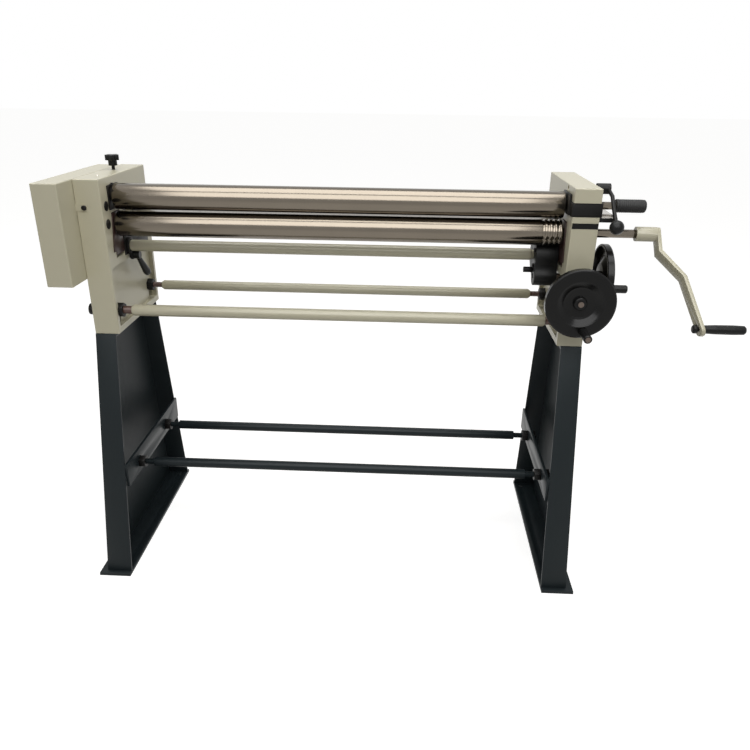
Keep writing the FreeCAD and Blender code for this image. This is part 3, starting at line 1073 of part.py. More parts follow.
# Star knob on the left head
knob_x = f"-{INNER}-knob_depth"
lobes = [rod("knob_core", "knob_radius*0.72", "knob_height",
             (knob_x, "knob_y", f"{HEAD_TOP}+knob_stem_height+knob_hub_height"), ALONG_Z)]
for index in range(5):
    angle = 2 * math.pi * index / 5
    lobes.append(rod(f"knob_lobe_{index}", "knob_radius*0.34", "knob_height",
                     (f"{knob_x}+knob_radius*0.66*{math.cos(angle):.5f}",
                      f"knob_y+knob_radius*0.66*{math.sin(angle):.5f}",
                      f"{HEAD_TOP}+knob_stem_height+knob_hub_height"), ALONG_Z))
star_knob = join("star_knob", *lobes,
                 rod("knob_hub", "knob_hub_radius", "knob_hub_height+1",
                     (knob_x, "knob_y", f"{HEAD_TOP}+knob_stem_height"), ALONG_Z),
                 rod("knob_stem", "knob_stem_radius", "knob_stem_height+knob_stem_below+1",
                     (knob_x, "knob_y", f"{HEAD_TOP}-knob_stem_below"), ALONG_Z))

# Screws that hold the housing to the right head
housing_screws = []
for index, (dy, dz) in enumerate(((30, 30), (36, -16), (-38, 22), (-32, -26))):
    housing_screws.append(prism(f"housing_screw_{index}", "housing_screw_across", "housing_screw_height",
                                (f"{INNER}-housing_length-housing_screw_height", f"swing_y+{dy}",
                                 f"swing_z+{dz}")))
housing_screws.append(rod("housing_peg", "peg_radius", "peg_length",
                          (f"{INNER}-housing_length-peg_length", "swing_y-peg_radius", "swing_z-peg_drop")))
housing_bolts = group("housing_bolts", *housing_screws)

PIECES = [
    left_head, right_head, left_leg, right_leg, foot_plates, leg_braces, rear_tie_rod, front_stand_rod,
    rear_stand_rod, rod_nuts, head_bolts, gear_cover, cover_screw, wall_plugs, seat_plate, top_left_seat,
    slot_ledge, gear_housing, housing_bolts, shaft_bushes, wear_plates, lock_bracket, top_right_block,
    top_left_ball, top_roll, top_roll_grip, top_gear, top_stub_shaft, lower_left_block, lower_right_block,
    push_rods, lower_roll, lower_gear, crank_arm, crank_grip_bolt, crank_grip, front_wheel, pressure_screw,
    front_grip_bolt, front_wheel_grip, pressure_nut, pressure_shaft, left_lift_arm, bell_crank, shaft_collars,
    side_wheel, side_shaft, swing_pinion, side_grip_bolt, side_wheel_grip, swing_shaft, swing_gear, swing_arms,
    rear_roll, cam_lever, cam_ball, cam_shaft, lock_lever, star_knob,
]

doc.recompute()
for thing in doc.Objects:
    bad = [word for word in thing.State if word in ("Invalid", "Error")]
    if bad:
        raise RuntimeError(f"{thing.Name} failed: {bad}")

os.makedirs("parts", exist_ok=True)
for piece in PIECES:
    shape = piece.Shape
    if shape.isNull() or not shape.isValid() or not shape.Solids:
        raise RuntimeError(f"{piece.Name} has no sound solid")
    piece.Label = piece.Name
    shape.exportStep(f"parts/{piece.Label}.step")
    print(f"{piece.Label:20s} solids {len(shape.Solids):2d} volume {shape.Volume / 1000:10.2f} cm3")
print(len(PIECES), "nodes")
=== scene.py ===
"""Manual slip roll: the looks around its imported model. Metres, Z up, X along the rolls, Y to the rear."""
import json
import math

import bpy
from mathutils import Matrix, Vector


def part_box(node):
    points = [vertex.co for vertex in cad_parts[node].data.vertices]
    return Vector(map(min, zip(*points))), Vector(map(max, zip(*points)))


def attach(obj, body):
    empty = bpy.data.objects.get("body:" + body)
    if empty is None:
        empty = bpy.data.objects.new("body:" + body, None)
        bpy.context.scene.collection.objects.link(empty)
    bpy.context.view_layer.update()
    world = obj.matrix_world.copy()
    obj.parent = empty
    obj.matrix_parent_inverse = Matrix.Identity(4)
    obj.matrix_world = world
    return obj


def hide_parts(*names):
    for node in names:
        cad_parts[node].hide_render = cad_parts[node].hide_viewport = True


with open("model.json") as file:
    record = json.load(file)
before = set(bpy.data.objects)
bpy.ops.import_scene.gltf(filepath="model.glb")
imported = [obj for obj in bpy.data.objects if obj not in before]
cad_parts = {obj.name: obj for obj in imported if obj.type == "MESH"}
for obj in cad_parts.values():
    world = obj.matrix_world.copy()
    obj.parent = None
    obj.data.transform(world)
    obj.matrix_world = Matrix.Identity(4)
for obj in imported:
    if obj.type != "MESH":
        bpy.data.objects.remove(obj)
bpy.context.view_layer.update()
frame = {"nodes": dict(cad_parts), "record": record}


# Foot plates: two strips of plate under the panels, drilled for the floor bolts.
# Their sawn edges are broken with a file, and they are sprayed in the stand's dark slate enamel.
WEAR_WIDTH, BUMP_STRENGTH, ROUGH_SPREAD = 0.0022, 0.6, 0.2
SMOOTH_BELOW, SHARP_ABOVE, FLAT_WITHIN = math.radians(35), math.radians(40), math.radians(0.5)
MERGE_WITHIN = 0.00001


def new_group(name, inputs, outputs):
    """An empty shader node group with named sockets, and the nodes where values enter and leave it."""
    group = bpy.data.node_groups.new(name, "ShaderNodeTree")
    for direction, sockets in (("INPUT", inputs), ("OUTPUT", outputs)):
        for socket, kind in sockets.items():
            group.interface.new_socket(socket, in_out=direction, socket_type=f"NodeSocket{kind}")
    return group, group.nodes.new("NodeGroupInput"), group.nodes.new("NodeGroupOutput")


def maths(nodes, operation):
    """A Math node set to one operation."""
    node = nodes.new("ShaderNodeMath")
    node.operation = operation
    return node


def grain_group():
    """Fine height noise and broad blotches over a piece."""
    group, entry, leave = new_group("surface_grain", {"Scale": "Float", "Stretch": "Vector"},
                                    {"Height": "Float", "Blotches": "Float"})
    nodes, links = group.nodes, group.links
    place = nodes.new("ShaderNodeTexCoord")
    stretch = nodes.new("ShaderNodeVectorMath")
    stretch.operation = "MULTIPLY"
    fine = nodes.new("ShaderNodeTexNoise")
    fine.inputs["Detail"].default_value = 3.0
    broad = nodes.new("ShaderNodeTexNoise")
    broad.inputs["Scale"].default_value = 9.0
    broad.inputs["Detail"].default_value = 6.0
    broad.inputs["Roughness"].default_value = 0.62
    links.new(place.outputs["Object"], stretch.inputs[0])
    links.new(entry.outputs["Stretch"], stretch.inputs[1])
    links.new(stretch.outputs[0], fine.inputs["Vector"])
    links.new(entry.outputs["Scale"], fine.inputs["Scale"])
    links.new(place.outputs["Object"], broad.inputs["Vector"])
    links.new(fine.outputs["Fac"], leave.inputs["Height"])
    links.new(broad.outputs["Fac"], leave.inputs["Blotches"])
    return group


def edge_group():
    """A mask that is white along a piece's edges, broken up by noise."""
    group, entry, leave = new_group("edge_wear", {"Width": "Float", "Amount": "Float"}, {"Mask": "Float"})
    nodes, links = group.nodes, group.links
    rounded = nodes.new("ShaderNodeBevel")
    rounded.samples = 4
    surface = nodes.new("ShaderNodeNewGeometry")
    likeness = nodes.new("ShaderNodeVectorMath")
    likeness.operation = "DOT_PRODUCT"
    place = nodes.new("ShaderNodeTexCoord")
    noise = nodes.new("ShaderNodeTexNoise")
    noise.inputs["Scale"].default_value = 60.0
    noise.inputs["Detail"].default_value = 6.0
    bent = nodes.new("ShaderNodeMapRange")
    bent.inputs["From Min"].default_value = 0.995
    bent.inputs["From Max"].default_value = 0.90
    broken = nodes.new("ShaderNodeMapRange")
    broken.inputs["From Min"].default_value = 0.45
    broken.inputs["From Max"].default_value = 0.65
    chips = maths(nodes, "MULTIPLY")
    share = maths(nodes, "MULTIPLY")
    links.new(entry.outputs["Width"], rounded.inputs["Radius"])
    links.new(rounded.outputs["Normal"], likeness.inputs[0])
    links.new(surface.outputs["Normal"], likeness.inputs[1])
    links.new(likeness.outputs["Value"], bent.inputs["Value"])
    links.new(place.outputs["Object"], noise.inputs["Vector"])
    links.new(noise.outputs["Fac"], broken.inputs["Value"])
    links.new(bent.outputs["Result"], chips.inputs[0])
    links.new(broken.outputs["Result"], chips.inputs[1])
    links.new(chips.outputs["Value"], share.inputs[0])
    links.new(entry.outputs["Amount"], share.inputs[1])
    links.new(share.outputs["Value"], leave.inputs["Mask"])
    return group


surface_grain = grain_group()
edge_wear = edge_group()


def finish_of(name, colour, under, rough, shine=0.5, metal=0.0, spread=0.06, scale=700.0,
              stretch=(1.0, 1.0, 1.0), depth=0.00012, wear=0.3):
    """A surface with grain, faint blotches and edges where the colour under it shows."""
    material = bpy.data.materials.new(name)
    material.use_nodes = True
    nodes, links = material.node_tree.nodes, material.node_tree.links
    shader = nodes["Principled BSDF"]
    shader.inputs["Metallic"].default_value = metal
    shader.inputs["Specular IOR Level"].default_value = shine
    grain = nodes.new("ShaderNodeGroup")
    grain.node_tree = surface_grain
    grain.inputs["Scale"].default_value = scale
    grain.inputs["Stretch"].default_value = stretch
    edges = nodes.new("ShaderNodeGroup")
    edges.node_tree = edge_wear
    edges.inputs["Width"].default_value = WEAR_WIDTH
    edges.inputs["Amount"].default_value = wear
    tone = nodes.new("ShaderNodeMix")
    tone.data_type = "RGBA"
    tone.inputs["A"].default_value = tuple(c * (1 - spread) for c in colour) + (1.0,)
    tone.inputs["B"].default_value = tuple(min(1.0, c * (1 + spread)) for c in colour) + (1.0,)
    rubbed = nodes.new("ShaderNodeMix")
    rubbed.name = "rubbed"
    rubbed.data_type = "RGBA"
    rubbed.inputs["B"].default_value = under + (1.0,)
    gloss = nodes.new("ShaderNodeMapRange")
    gloss.inputs["To Min"].default_value = rough * (1 - ROUGH_SPREAD)
    gloss.inputs["To Max"].default_value = min(1.0, rough * (1 + ROUGH_SPREAD))
    bump = nodes.new("ShaderNodeBump")
    bump.inputs["Strength"].default_value = BUMP_STRENGTH
    bump.inputs["Distance"].default_value = depth
    links.new(grain.outputs["Blotches"], tone.inputs["Factor"])
    links.new(tone.outputs["Result"], rubbed.inputs["A"])
    links.new(edges.outputs["Mask"], rubbed.inputs["Factor"])
    links.new(rubbed.outputs["Result"], shader.inputs["Base Color"])
    links.new(grain.outputs["Blotches"], gloss.inputs["Value"])
    links.new(gloss.outputs["Result"], shader.inputs["Roughness"])
    links.new(grain.outputs["Height"], bump.inputs["Height"])
    links.new(bump.outputs["Normal"], shader.inputs["Normal"])
    return material


def pick(piece):
    """Leaves one piece selected and active."""
    bpy.ops.object.select_all(action="DESELECT")
    piece.select_set(True)
    bpy.context.view_layer.objects.active = piece


def settle(piece, name, material, node, replace=True):
    """Names a finished piece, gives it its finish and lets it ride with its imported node."""
    record = frame["record"]
    piece.name = name
    piece.data.name = name
    piece.data.materials.clear()
    piece.data.materials.append(material)
    pick(piece)
    bpy.ops.object.transform_apply(location=True, rotation=True, scale=True)
    bpy.ops.object.shade_smooth_by_angle(angle=SMOOTH_BELOW)
    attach(piece, next(body for body, nodes in record["behaviour"]["bodies"].items() if node in nodes))
    if replace:
        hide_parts(node)


def break_edges(name, node, width, material):
    """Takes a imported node's form and rounds its sharp edges, as a file or a cutter does."""
    piece = bpy.data.objects.new(name, frame["nodes"][node].data.copy())
    bpy.context.scene.collection.objects.link(piece)
    pick(piece)
    bpy.ops.object.mode_set(mode="EDIT")
    bpy.ops.mesh.select_all(action="SELECT")
    bpy.ops.mesh.remove_doubles(threshold=MERGE_WITHIN)
    bpy.ops.mesh.dissolve_limited(angle_limit=FLAT_WITHIN)
    bpy.ops.object.mode_set(mode="OBJECT")
    rounding = piece.modifiers.new("rounding", "BEVEL")
    rounding.width = width
    rounding.segments = 2
    rounding.limit_method = "ANGLE"
    rounding.angle_limit = SHARP_ABOVE
    bpy.ops.object.modifier_apply(modifier=rounding.name)
    settle(piece, name, material, node)


slate_enamel = finish_of("slate_enamel", colour=(0.0125, 0.0175, 0.0195), under=(0.05, 0.05, 0.05),
                         rough=0.38, shine=0.14, wear=0.22)
break_edges("floor_plates", "foot_plates", width=0.001, material=slate_enamel)


# Stand panels: two folded sheet panels, wider at the floor, open on the side towards the rolls.
# The folds leave round corners. Flat bars close the open sides and take the stand rods.
break_edges("left_panel", "left_leg", width=0.0025, material=slate_enamel)
break_edges("right_panel", "right_leg", width=0.0025, material=slate_enamel)
break_edges("cross_bars", "leg_braces", width=0.001, material=slate_enamel)


# Stand rods: two round bars across the stand, turned down to threads at their ends.
# They are painted with the stand, and their shoulders carry a small chamfer.
break_edges("front_stay", "front_stand_rod", width=0.0015, material=slate_enamel)
break_edges("rear_stay", "rear_stand_rod", width=0.0015, material=slate_enamel)


# Nuts, head bolts and collars: chamfered hexagons in black oxide steel.
# They clamp the rods through the bars and the castings, and hold the front shaft in its place.
black_steel = finish_of("black_steel", colour=(0.0060, 0.0056, 0.0053), under=(0.09, 0.07, 0.055),
                        rough=0.42, shine=0.14, wear=0.45, scale=500.0)
break_edges("hex_nuts", "rod_nuts", width=0.0016, material=black_steel)
break_edges("hex_bolts", "head_bolts", width=0.001, material=black_steel)
break_edges("hex_collars", "shaft_collars", width=0.0018, material=black_steel)


# Heads: two hollow iron castings, filled, primed and sprayed in a warm grey-beige enamel.
# The enamel has a faint orange peel, and it is rubbed thin on the arrises.
def paint(material, *nodes):
    """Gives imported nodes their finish."""
    for node in nodes:
        mesh = frame["nodes"][node].data
        mesh.materials.clear()
        mesh.materials.append(material)


beige_enamel = finish_of("beige_enamel", colour=(0.485, 0.455, 0.335), under=(0.27, 0.25, 0.20),
                         rough=0.34, shine=0.42, wear=0.20, spread=0.035, depth=0.00009)
paint(beige_enamel, "left_head", "right_head")


# Top screw: a small screw in the left head's top, which holds the seat of the top roll's ball.
# It is turned from bright steel, with a low button head and a sunk socket.
TURNED_GRAIN = (14.0, 0.6, 0.6)
SCREW_X, SCREW_Y, SCREW_SIDES = -0.694, -0.102, 24
STEM_RADIUS, BUTTON_RADIUS, CROWN_RADIUS = 0.0026, 0.0042, 0.0028


def lathe(outline, sides=48):
    """Turns a closed piece on the Z axis from (height, radius) pairs, starting from its first face."""
    height, radius = outline[0]
    bpy.ops.object.select_all(action="DESELECT")
    bpy.ops.mesh.primitive_circle_add(vertices=sides, radius=radius, fill_type="NGON",
                                      location=(0.0, 0.0, height))
    bpy.ops.object.transform_apply(location=True, rotation=True, scale=True)
    bpy.ops.object.mode_set(mode="EDIT")
    bpy.ops.mesh.select_all(action="SELECT")
    for (low, small), (high, large) in zip(outline, outline[1:]):
        growth = large / small
        bpy.ops.mesh.extrude_region_move(TRANSFORM_OT_translate={"value": (0.0, 0.0, high - low)})
        bpy.ops.transform.resize(value=(growth, growth, 1.0), center_override=(0.0, 0.0, high))
    bpy.ops.mesh.select_all(action="SELECT")
    bpy.ops.mesh.normals_make_consistent(inside=False)
    bpy.ops.object.mode_set(mode="OBJECT")
    return bpy.context.object


bright_steel = finish_of("bright_steel", colour=(0.50, 0.47, 0.43), under=(0.62, 0.60, 0.56),
                         rough=0.26, metal=1.0, scale=300.0, stretch=TURNED_GRAIN, depth=0.00003)
top_screw = lathe([(-0.004, STEM_RADIUS), (0.0, STEM_RADIUS), (0.0001, BUTTON_RADIUS),
                   (0.0009, BUTTON_RADIUS), (0.0016, 0.0036), (0.0019, CROWN_RADIUS),
                   (0.00191, 0.0018), (0.0006, 0.0016)], sides=SCREW_SIDES)
top_screw.location = (SCREW_X, SCREW_Y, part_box("left_head")[1][2])
settle(top_screw, "top_screw", bright_steel, "left_head", replace=False)


# Head plugs: two pressed caps of black plastic that close the machining bores of the left head.
# Each stands a little proud of the wall.
black_plastic = finish_of("black_plastic", colour=(0.0050, 0.0053, 0.0050), under=(0.02, 0.02, 0.02),
                          rough=0.34, shine=0.16, wear=0.3, scale=900.0)
break_edges("bore_caps", "wall_plugs", width=0.0009, material=black_plastic)


# Rear tie rod: a bar between the heads, painted over its middle, with a short taper at each shoulder.
# Its turned ends are threaded and left bare with a film of brown rust oil.
ALONG_X = (0.0, math.radians(90), 0.0)
OIL_BROWN = (0.085, 0.042, 0.030)
SHOULDER, PAINT_END, NUT_FACE = 0.623, 0.6225, 0.650
TIE_END, TIE_CHAMFER, TIE_TAPER = 0.759, 0.0015, 0.007
TIE_RADIUS, TIE_SHOULDER_RADIUS, TIE_NECK_RADIUS, TIE_NECK = 0.0160, 0.0115, 0.0088, 0.001
THREAD_PITCH, THREAD_RADIUS, THREAD_ROOT, THREAD_RUN_OUT = 0.0020, 0.0090, 0.0083, 0.003


def bare_ends_group():
    """A mask that is white past a distance from the machine's middle along X."""
    group, entry, leave = new_group("bare_ends", {"From": "Float"}, {"Mask": "Float"})
    nodes, links = group.nodes, group.links
    place = nodes.new("ShaderNodeTexCoord")
    split = nodes.new("ShaderNodeSeparateXYZ")
    apart = maths(nodes, "ABSOLUTE")
    past = maths(nodes, "GREATER_THAN")
    links.new(place.outputs["Object"], split.inputs["Vector"])
    links.new(split.outputs["X"], apart.inputs[0])
    links.new(apart.outputs["Value"], past.inputs[0])
    links.new(entry.outputs["From"], past.inputs[1])
    links.new(past.outputs["Value"], leave.inputs["Mask"])
    return group


def leave_bare(name, base, start):
    """A copy of a paint that stops at a distance along X, past which the oiled steel is bare."""
    material = base.copy()
    material.name = name
    nodes, links = material.node_tree.nodes, material.node_tree.links
    shader = nodes["Principled BSDF"]
    bare = nodes.new("ShaderNodeGroup")
    bare.node_tree = bare_ends_group()
    bare.inputs["From"].default_value = start
    stained = nodes.new("ShaderNodeMix")
    stained.data_type = "RGBA"
    stained.inputs["B"].default_value = OIL_BROWN + (1.0,)
    links.new(nodes["rubbed"].outputs["Result"], stained.inputs["A"])
    links.new(bare.outputs["Mask"], stained.inputs["Factor"])
    links.new(stained.outputs["Result"], shader.inputs["Base Color"])
    return material


def mirrored(half):
    """Both halves of an outline whose second half repeats its first."""
    return [(-x, r) for x, r in half] + [(x, r) for x, r in reversed(half)]


def lay_along_x(piece, node, start=0.0):
    """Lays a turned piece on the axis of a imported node, with the outline's zero at a place along X."""
    low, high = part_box(node)
    piece.rotation_euler = ALONG_X
    piece.location = (start, (low[1] + high[1]) / 2, (low[2] + high[2]) / 2)


bar_paint = leave_bare("bar_paint", beige_enamel, PAINT_END)
tie_half = [(TIE_END, THREAD_RADIUS - TIE_CHAMFER), (TIE_END - TIE_CHAMFER, THREAD_RADIUS),
            (NUT_FACE + THREAD_PITCH, THREAD_RADIUS)]
for ring in range(int((NUT_FACE - SHOULDER - THREAD_RUN_OUT) / THREAD_PITCH)):
    crest = NUT_FACE - ring * THREAD_PITCH
    tie_half += [(crest, THREAD_RADIUS), (crest - THREAD_PITCH / 2, THREAD_ROOT)]
tie_half += [(SHOULDER + TIE_NECK, TIE_NECK_RADIUS), (SHOULDER, TIE_SHOULDER_RADIUS),
             (SHOULDER - TIE_TAPER, TIE_RADIUS)]
tie = lathe(mirrored(tie_half))
lay_along_x(tie, "rear_tie_rod")
settle(tie, "tie_bar", bar_paint, "rear_tie_rod")


# Front shaft: the painted cross bar under the rolls, whose turned ends run in the heads' bushes.
# It carries the lift arms inside the heads, and its left end pokes out through the head into a cap.
LEFT_REACH, RIGHT_REACH = 0.750, 0.720
SHAFT_CHAMFER, SHAFT_STEP, SHAFT_TAPER = 0.001, 0.0005, 0.006
SHAFT_RADIUS, SHAFT_SHOULDER_RADIUS, SHAFT_NECK_RADIUS = 0.0175, 0.0140, 0.0120


def shaft_end(reach):
    """The outline of one end, from its chamfered tip to where the painted bar is full."""
    return [(reach, SHAFT_NECK_RADIUS - SHAFT_CHAMFER), (reach - SHAFT_CHAMFER, SHAFT_NECK_RADIUS),
            (SHOULDER + SHAFT_STEP, SHAFT_NECK_RADIUS), (SHOULDER, SHAFT_SHOULDER_RADIUS),
            (SHOULDER - SHAFT_TAPER, SHAFT_RADIUS)]


left_end = [(-x, r) for x, r in shaft_end(LEFT_REACH)]
right_end = list(reversed(shaft_end(RIGHT_REACH)))
front_shaft = lathe(left_end + right_end)
lay_along_x(front_shaft, "pressure_shaft")
settle(front_shaft, "front_shaft", bar_paint, "pressure_shaft")


# Lift work inside the heads: bell crank, lift arm, push rods, pressure nut and the bronze bushes.
# Arms are cast and machined, rods are ground, and nut and bushes are turned bronze.
grey_steel = finish_of("grey_steel", colour=(0.20, 0.20, 0.20), under=(0.4, 0.4, 0.4), rough=0.4,
                       metal=0.8, scale=300.0)
bronze = finish_of("bronze", colour=(0.50, 0.34, 0.14), under=(0.6, 0.4, 0.2), rough=0.35, metal=1.0,
                   scale=300.0)
paint(grey_steel, "bell_crank", "left_lift_arm")
paint(bright_steel, "push_rods")
paint(bronze, "shaft_bushes", "pressure_nut")


# Roll gears, ball, seat and stub shaft: the drive of the top roll, which lets it swing out at the right.
# All are machined steel and stay out of sight in the left head and under the cover.
paint(grey_steel, "lower_gear", "top_gear", "top_left_seat", "top_left_ball")
paint(bright_steel, "top_stub_shaft")


# Gear cover: a box folded from sheet, sprayed with the heads, with a tab that one round screw holds.
# The screw is black oxide steel.
paint(beige_enamel, "gear_cover")
break_edges("cover_button_screw", "cover_screw", width=0.0015, material=black_steel)


# Bearing blocks: iron blocks that slide in the heads and carry the lower roll, brown with old oil.
# The right block of the top roll and the plate round its left end are black oxide steel.
oiled_iron = finish_of("oiled_iron", colour=(0.032, 0.014, 0.011), under=(0.10, 0.06, 0.045),
                       rough=0.36, scale=250.0, shine=0.35, wear=0.4, spread=0.2)
break_edges("left_bearing_block", "lower_left_block", width=0.001, material=oiled_iron)
break_edges("right_bearing_block", "lower_right_block", width=0.001, material=oiled_iron)
break_edges("top_bearing_block", "top_right_block", width=0.0012, material=black_steel)
break_edges("left_end_plate", "seat_plate", width=0.001, material=black_steel)


# Rolls: three bars of ground steel under a thin film of oil, which has stained them a little in faint
# blotches.
# Grinding leaves a very fine grain round them. The lower roll has wire grooves near its right end.
# Their colour is made much darker than ground steel is: painted shade for the dark room that the rolls
# mirror.
roll_steel = finish_of("roll_steel", colour=(0.150, 0.130, 0.105), under=(0.28, 0.25, 0.22),
                       rough=0.17, metal=1.0, scale=300.0, stretch=TURNED_GRAIN, depth=0.00002,
                       wear=0.1, spread=0.10)
break_edges("top_pinch_roll", "top_roll", width=0.0012, material=roll_steel)
break_edges("lower_pinch_roll", "lower_roll", width=0.0008, material=roll_steel)
break_edges("bending_roll", "rear_roll", width=0.0012, material=roll_steel)


# Lifting grip: a ribbed rubber sleeve on the top roll's right end, by which the roll is swung out.
# It is moulded with round ribs and a thicker lip, and pushed over the turned end.
RIB_COUNT, RIBS_START, LIPS_LENGTH = 13, 0.0065, 0.016
black_rubber = finish_of("black_rubber", colour=(0.0080, 0.0080, 0.0078), under=(0.02, 0.02, 0.02),
                         rough=0.55, shine=0.25, scale=1200.0, wear=0.2)
sleeve_low, sleeve_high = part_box("top_roll_grip")
sleeve_length = sleeve_high[0] - sleeve_low[0]
lip = (sleeve_high[2] - sleeve_low[2]) / 2
rib_top, rib_foot = lip - 0.0002, lip - 0.0011
rib_pitch = (sleeve_length - LIPS_LENGTH) / RIB_COUNT
sleeve_outline = [(0.0, lip * 0.62), (0.0002, lip - 0.0012), (0.0012, lip), (0.0050, lip),
                  (0.0058, lip - 0.0009)]
for rib in range(RIB_COUNT):
    start = RIBS_START + rib * rib_pitch
    sleeve_outline += [(start, rib_foot), (start + rib_pitch * 0.3, rib_top),
                       (start + rib_pitch * 0.62, rib_top), (start + rib_pitch * 0.9, rib_foot)]
sleeve_outline += [(sleeve_length - 0.0060, lip - 0.0006), (sleeve_length - 0.0030, lip - 0.0018),
                   (sleeve_length - 0.0010, lip - 0.0045), (sleeve_length, lip - 0.0085)]
sleeve = lathe(sleeve_outline)
lay_along_x(sleeve, "top_roll_grip", start=sleeve_low[0])
settle(sleeve, "ribbed_grip", black_rubber, "top_roll_grip")


# Ledge: a flat bar on the right head's outer side, under the slot of the top roll's block.
# It is black oxide steel, and its faces that look up are given bright steel: a painted highlight where the
# light from above falls on its top.
LIT_FACES_UP = 0.9
break_edges("rest_ledge", "slot_ledge", width=0.0010, material=black_steel)
ledge = bpy.data.objects["rest_ledge"].data
# Upward faces take bright steel, a lighter top painted for the light from above.
ledge.materials.append(bright_steel)
for face in ledge.polygons:
    if face.normal.z > LIT_FACES_UP:
        face.material_index = 1


# Cam lever: a bent round bar in a turned hub, with a plastic ball at its end.
# Its shaft has a lobe inside the head that presses the top roll's block down.
paint(black_steel, "cam_lever")
paint(bright_steel, "cam_shaft")
paint(black_plastic, "cam_ball")


# Rear roll swing: the cross shaft with its arms, gear and pinion, and the wear plates on the heads.
# The shaft is painted between the heads, the gears are machined, and the plates are black.
break_edges("swing_bar", "swing_shaft", width=0.0025, material=beige_enamel)
paint(grey_steel, "swing_arms", "swing_gear", "swing_pinion")
break_edges("slot_plates", "wear_plates", width=0.0008, material=black_steel)


# Gear housing: an iron casting over the swing gear, painted black, with its screws and a stop peg.
# It is bolted to the right head.
black_paint = finish_of("black_paint", colour=(0.0055, 0.0056, 0.0055), under=(0.04, 0.035, 0.03),
                        rough=0.40, shine=0.14, wear=0.35, scale=260.0, depth=0.0003)
break_edges("swing_housing", "gear_housing", width=0.0022, material=black_paint)
break_edges("housing_fasteners", "housing_bolts", width=0.0010, material=black_steel)


# Hand wheels: dished black wheels, glossy from the mould, keyed to their shafts.
# Each has a plain turning grip on a shouldered steel screw.
wheel_gloss = finish_of("wheel_gloss", colour=(0.0040, 0.0040, 0.0038), under=(0.03, 0.03, 0.03),
                        rough=0.22, shine=0.16, wear=0.2, scale=500.0)
dull_steel = finish_of("dull_steel", colour=(0.115, 0.092, 0.078), under=(0.30, 0.27, 0.24),
                       rough=0.36, metal=1.0, scale=400.0, depth=0.00004)
paint(wheel_gloss, "front_wheel", "side_wheel")
paint(black_plastic, "front_wheel_grip", "side_wheel_grip")
paint(dull_steel, "pressure_screw", "front_grip_bolt", "side_grip_bolt", "side_shaft")


# Crank: a turned hub on the lower roll's end, a flat bar bent outwards and sprayed with the heads,
# and a tapered plastic grip that turns on a bolt with a black nut.
break_edges("crank_handle", "crank_arm", width=0.0016, material=beige_enamel)
break_edges("grip_bolt", "crank_grip_bolt", width=0.0008, material=black_steel)
paint(black_plastic, "crank_grip")


# Lock lever: a clamp for the swing shaft at the left, worked by a short lever with a moulded grip.
# It turns in a black bracket on the head.
break_edges("clamp_bracket", "lock_bracket", width=0.0010, material=black_steel)
paint(black_plastic, "lock_lever")


# Star knob: a knob with five lobes on a stem in the left head's top, turned by hand.
# It is moulded in black plastic, and the moulding leaves its corners round.
break_edges("lobed_knob", "star_knob", width=0.0016, material=black_plastic)


# Name plate: a thin plain strip across the right head's front face, in gloss black.
# It has a fine raised rim and is glued on.
PLATE_LOW, PLATE_HIGH, PLATE_THICK, PLATE_MARGIN = 1.1435, 1.1590, 0.0009, 0.0015
RIM_WIDTH, RIM_HEIGHT, FACES_FRONT = 0.0006, 0.0003, -0.9
plate_gloss = finish_of("plate_gloss", colour=(0.0040, 0.0040, 0.0040), under=(0.03, 0.03, 0.03),
                        rough=0.25, shine=0.14, wear=0.1, scale=900.0, depth=0.00002)
head_low, head_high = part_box("right_head")
plate_middle = ((head_low[0] + head_high[0]) / 2, head_low[1] - PLATE_THICK / 2, (PLATE_LOW + PLATE_HIGH) / 2)
bpy.ops.object.select_all(action="DESELECT")
bpy.ops.mesh.primitive_cube_add(size=1.0, location=plate_middle)
name_strip = bpy.context.object
name_strip.scale = (head_high[0] - head_low[0] - 2 * PLATE_MARGIN, PLATE_THICK, PLATE_HIGH - PLATE_LOW)
bpy.ops.object.transform_apply(location=True, rotation=True, scale=True)
bpy.ops.object.mode_set(mode="EDIT")
bpy.ops.mesh.select_all(action="DESELECT")
bpy.ops.mesh.select_mode(type="FACE")
bpy.ops.object.mode_set(mode="OBJECT")
for face in name_strip.data.polygons:
    face.select = face.normal.y < FACES_FRONT
bpy.ops.object.mode_set(mode="EDIT")
bpy.ops.mesh.inset(thickness=RIM_WIDTH)
bpy.ops.transform.translate(value=(0.0, RIM_HEIGHT, 0.0))
bpy.ops.object.mode_set(mode="OBJECT")
settle(name_strip, "name_strip", plate_gloss, "right_head", replace=False)


# Camera: it stands where the photograph was taken from, with the same width of view.
# Place and turns come from the machine's straight edges and circles in the photograph.
CAMERA_PLACE = (0.2004, -2.1319, 1.5282)
YAW, PITCH, ROLL = math.radians(2.352), math.radians(23.372), math.radians(0.740)
PHOTO_WIDTH, FOCAL_PIXELS, FILM_WIDTH = 750.0, 692.98, 36.0
camera_data = bpy.data.cameras.new("camera")
camera_data.sensor_fit = "HORIZONTAL"
camera_data.sensor_width = FILM_WIDTH
camera_data.lens = FILM_WIDTH * FOCAL_PIXELS / PHOTO_WIDTH
camera_data.clip_end = 50.0
camera = bpy.data.objects.new("camera", camera_data)
bpy.context.scene.collection.objects.link(camera)
ahead = Vector((-math.sin(YAW) * math.cos(PITCH), math.cos(YAW) * math.cos(PITCH), -math.sin(PITCH)))
right = Vector((math.cos(YAW), math.sin(YAW), 0.0))
upward = right.cross(ahead)
tilted_right = right * math.cos(ROLL) + upward * math.sin(ROLL)
tilted_up = upward * math.cos(ROLL) - right * math.sin(ROLL)
turned = Matrix((tilted_right, tilted_up, -ahead)).transposed().to_4x4()
camera.matrix_world = Matrix.Translation(CAMERA_PLACE) @ turned
bpy.context.scene.camera = camera


# Floor and room: a plain pale studio, white to the eye and in the metal's reflections.
# The floor keeps the machine's shadow.
FLOOR_SIZE, FLOOR_GLOW, ROOM_LIGHT = 60.0, 0.80, 0.36
WHITE = (1.0, 1.0, 1.0, 1.0)


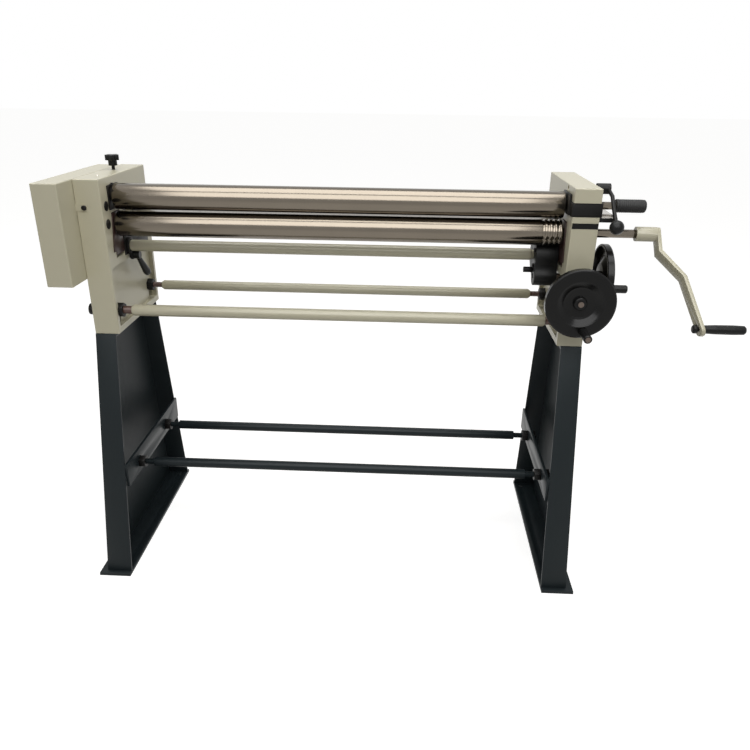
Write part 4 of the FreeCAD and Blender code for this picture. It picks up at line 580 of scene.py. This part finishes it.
def seen_rays(nodes, links):
    """A mask that is white for what the eye, a reflection or a clear body sees."""
    rays = nodes.new("ShaderNodeLightPath")
    mirrored_too = maths(nodes, "MAXIMUM")
    clear_too = maths(nodes, "MAXIMUM")
    links.new(rays.outputs["Is Camera Ray"], mirrored_too.inputs[0])
    links.new(rays.outputs["Is Glossy Ray"], mirrored_too.inputs[1])
    links.new(mirrored_too.outputs["Value"], clear_too.inputs[0])
    links.new(rays.outputs["Is Transmission Ray"], clear_too.inputs[1])
    return clear_too.outputs["Value"]


bpy.ops.object.select_all(action="DESELECT")
bpy.ops.mesh.primitive_plane_add(size=FLOOR_SIZE, location=(0.0, 0.0, 0.0))
floor = bpy.context.object
floor.name = "floor"
bpy.ops.object.transform_apply(location=True, rotation=True, scale=True)
pale_floor = bpy.data.materials.new("pale_floor")
pale_floor.use_nodes = True
nodes, links = pale_floor.node_tree.nodes, pale_floor.node_tree.links
shader = nodes["Principled BSDF"]
shader.inputs["Base Color"].default_value = (0.50, 0.49, 0.47, 1.0)
shader.inputs["Roughness"].default_value = 0.95
shader.inputs["Specular IOR Level"].default_value = 0.0
glow = nodes.new("ShaderNodeEmission")
glow.inputs["Color"].default_value = WHITE
lift = maths(nodes, "MULTIPLY")
lift.inputs[1].default_value = FLOOR_GLOW
both = nodes.new("ShaderNodeAddShader")
links.new(seen_rays(nodes, links), lift.inputs[0])
links.new(lift.outputs["Value"], glow.inputs["Strength"])
links.new(shader.outputs["BSDF"], both.inputs[0])
links.new(glow.outputs["Emission"], both.inputs[1])
links.new(both.outputs["Shader"], nodes["Material Output"].inputs["Surface"])
floor.data.materials.append(pale_floor)

world = bpy.data.worlds.new("studio")
bpy.context.scene.world = world
world.use_nodes = True
nodes, links = world.node_tree.nodes, world.node_tree.links
room = nodes["Background"]
room.inputs["Color"].default_value = (0.98, 0.99, 1.0, 1.0)
room.inputs["Strength"].default_value = ROOM_LIGHT
backdrop = nodes.new("ShaderNodeBackground")
backdrop.inputs["Color"].default_value = WHITE
backdrop.inputs["Strength"].default_value = 1.0
choose = nodes.new("ShaderNodeMixShader")
links.new(seen_rays(nodes, links), choose.inputs["Fac"])
links.new(room.outputs["Background"], choose.inputs[1])
links.new(backdrop.outputs["Background"], choose.inputs[2])
links.new(choose.outputs["Shader"], nodes["World Output"].inputs["Surface"])


# Lamps: two wide soft ones light the dull surfaces from the front and from above.
# Two wider ones show only in gloss and metal, and draw the bright bands along the rolls.
def lamp(name, place, aim, size, power, in_gloss):
    """A soft wide lamp that looks at a point, and shows either in gloss and metal or on dull surfaces."""
    data = bpy.data.lights.new(name, "AREA")
    data.shape = "RECTANGLE"
    data.size, data.size_y = size
    data.energy = power
    obj = bpy.data.objects.new(name, data)
    bpy.context.scene.collection.objects.link(obj)
    obj.visible_glossy = in_gloss
    obj.visible_diffuse = not in_gloss
    obj.location = place
    obj.rotation_euler = (Vector(aim) - Vector(place)).to_track_quat("-Z", "Y").to_euler()


lamp("key_lamp", place=(0.6, -2.7, 3.4), aim=(0.0, -0.1, 1.15), size=(3.2, 1.5),
     power=64.0, in_gloss=False)
lamp("top_lamp", place=(0.0, 0.2, 4.2), aim=(0.0, 0.0, 1.1), size=(4.2, 1.6),
     power=68.0, in_gloss=False)
lamp("front_sheen", place=(-0.2, -2.75, 3.3), aim=(-0.2, -0.1, 1.2), size=(5.4, 2.4),
     power=190.0, in_gloss=True)
lamp("roof_sheen", place=(-0.2, -0.2, 4.6), aim=(-0.2, -0.1, 1.2), size=(5.4, 2.8),
     power=230.0, in_gloss=True)

bpy.context.scene.view_settings.view_transform = "Standard"
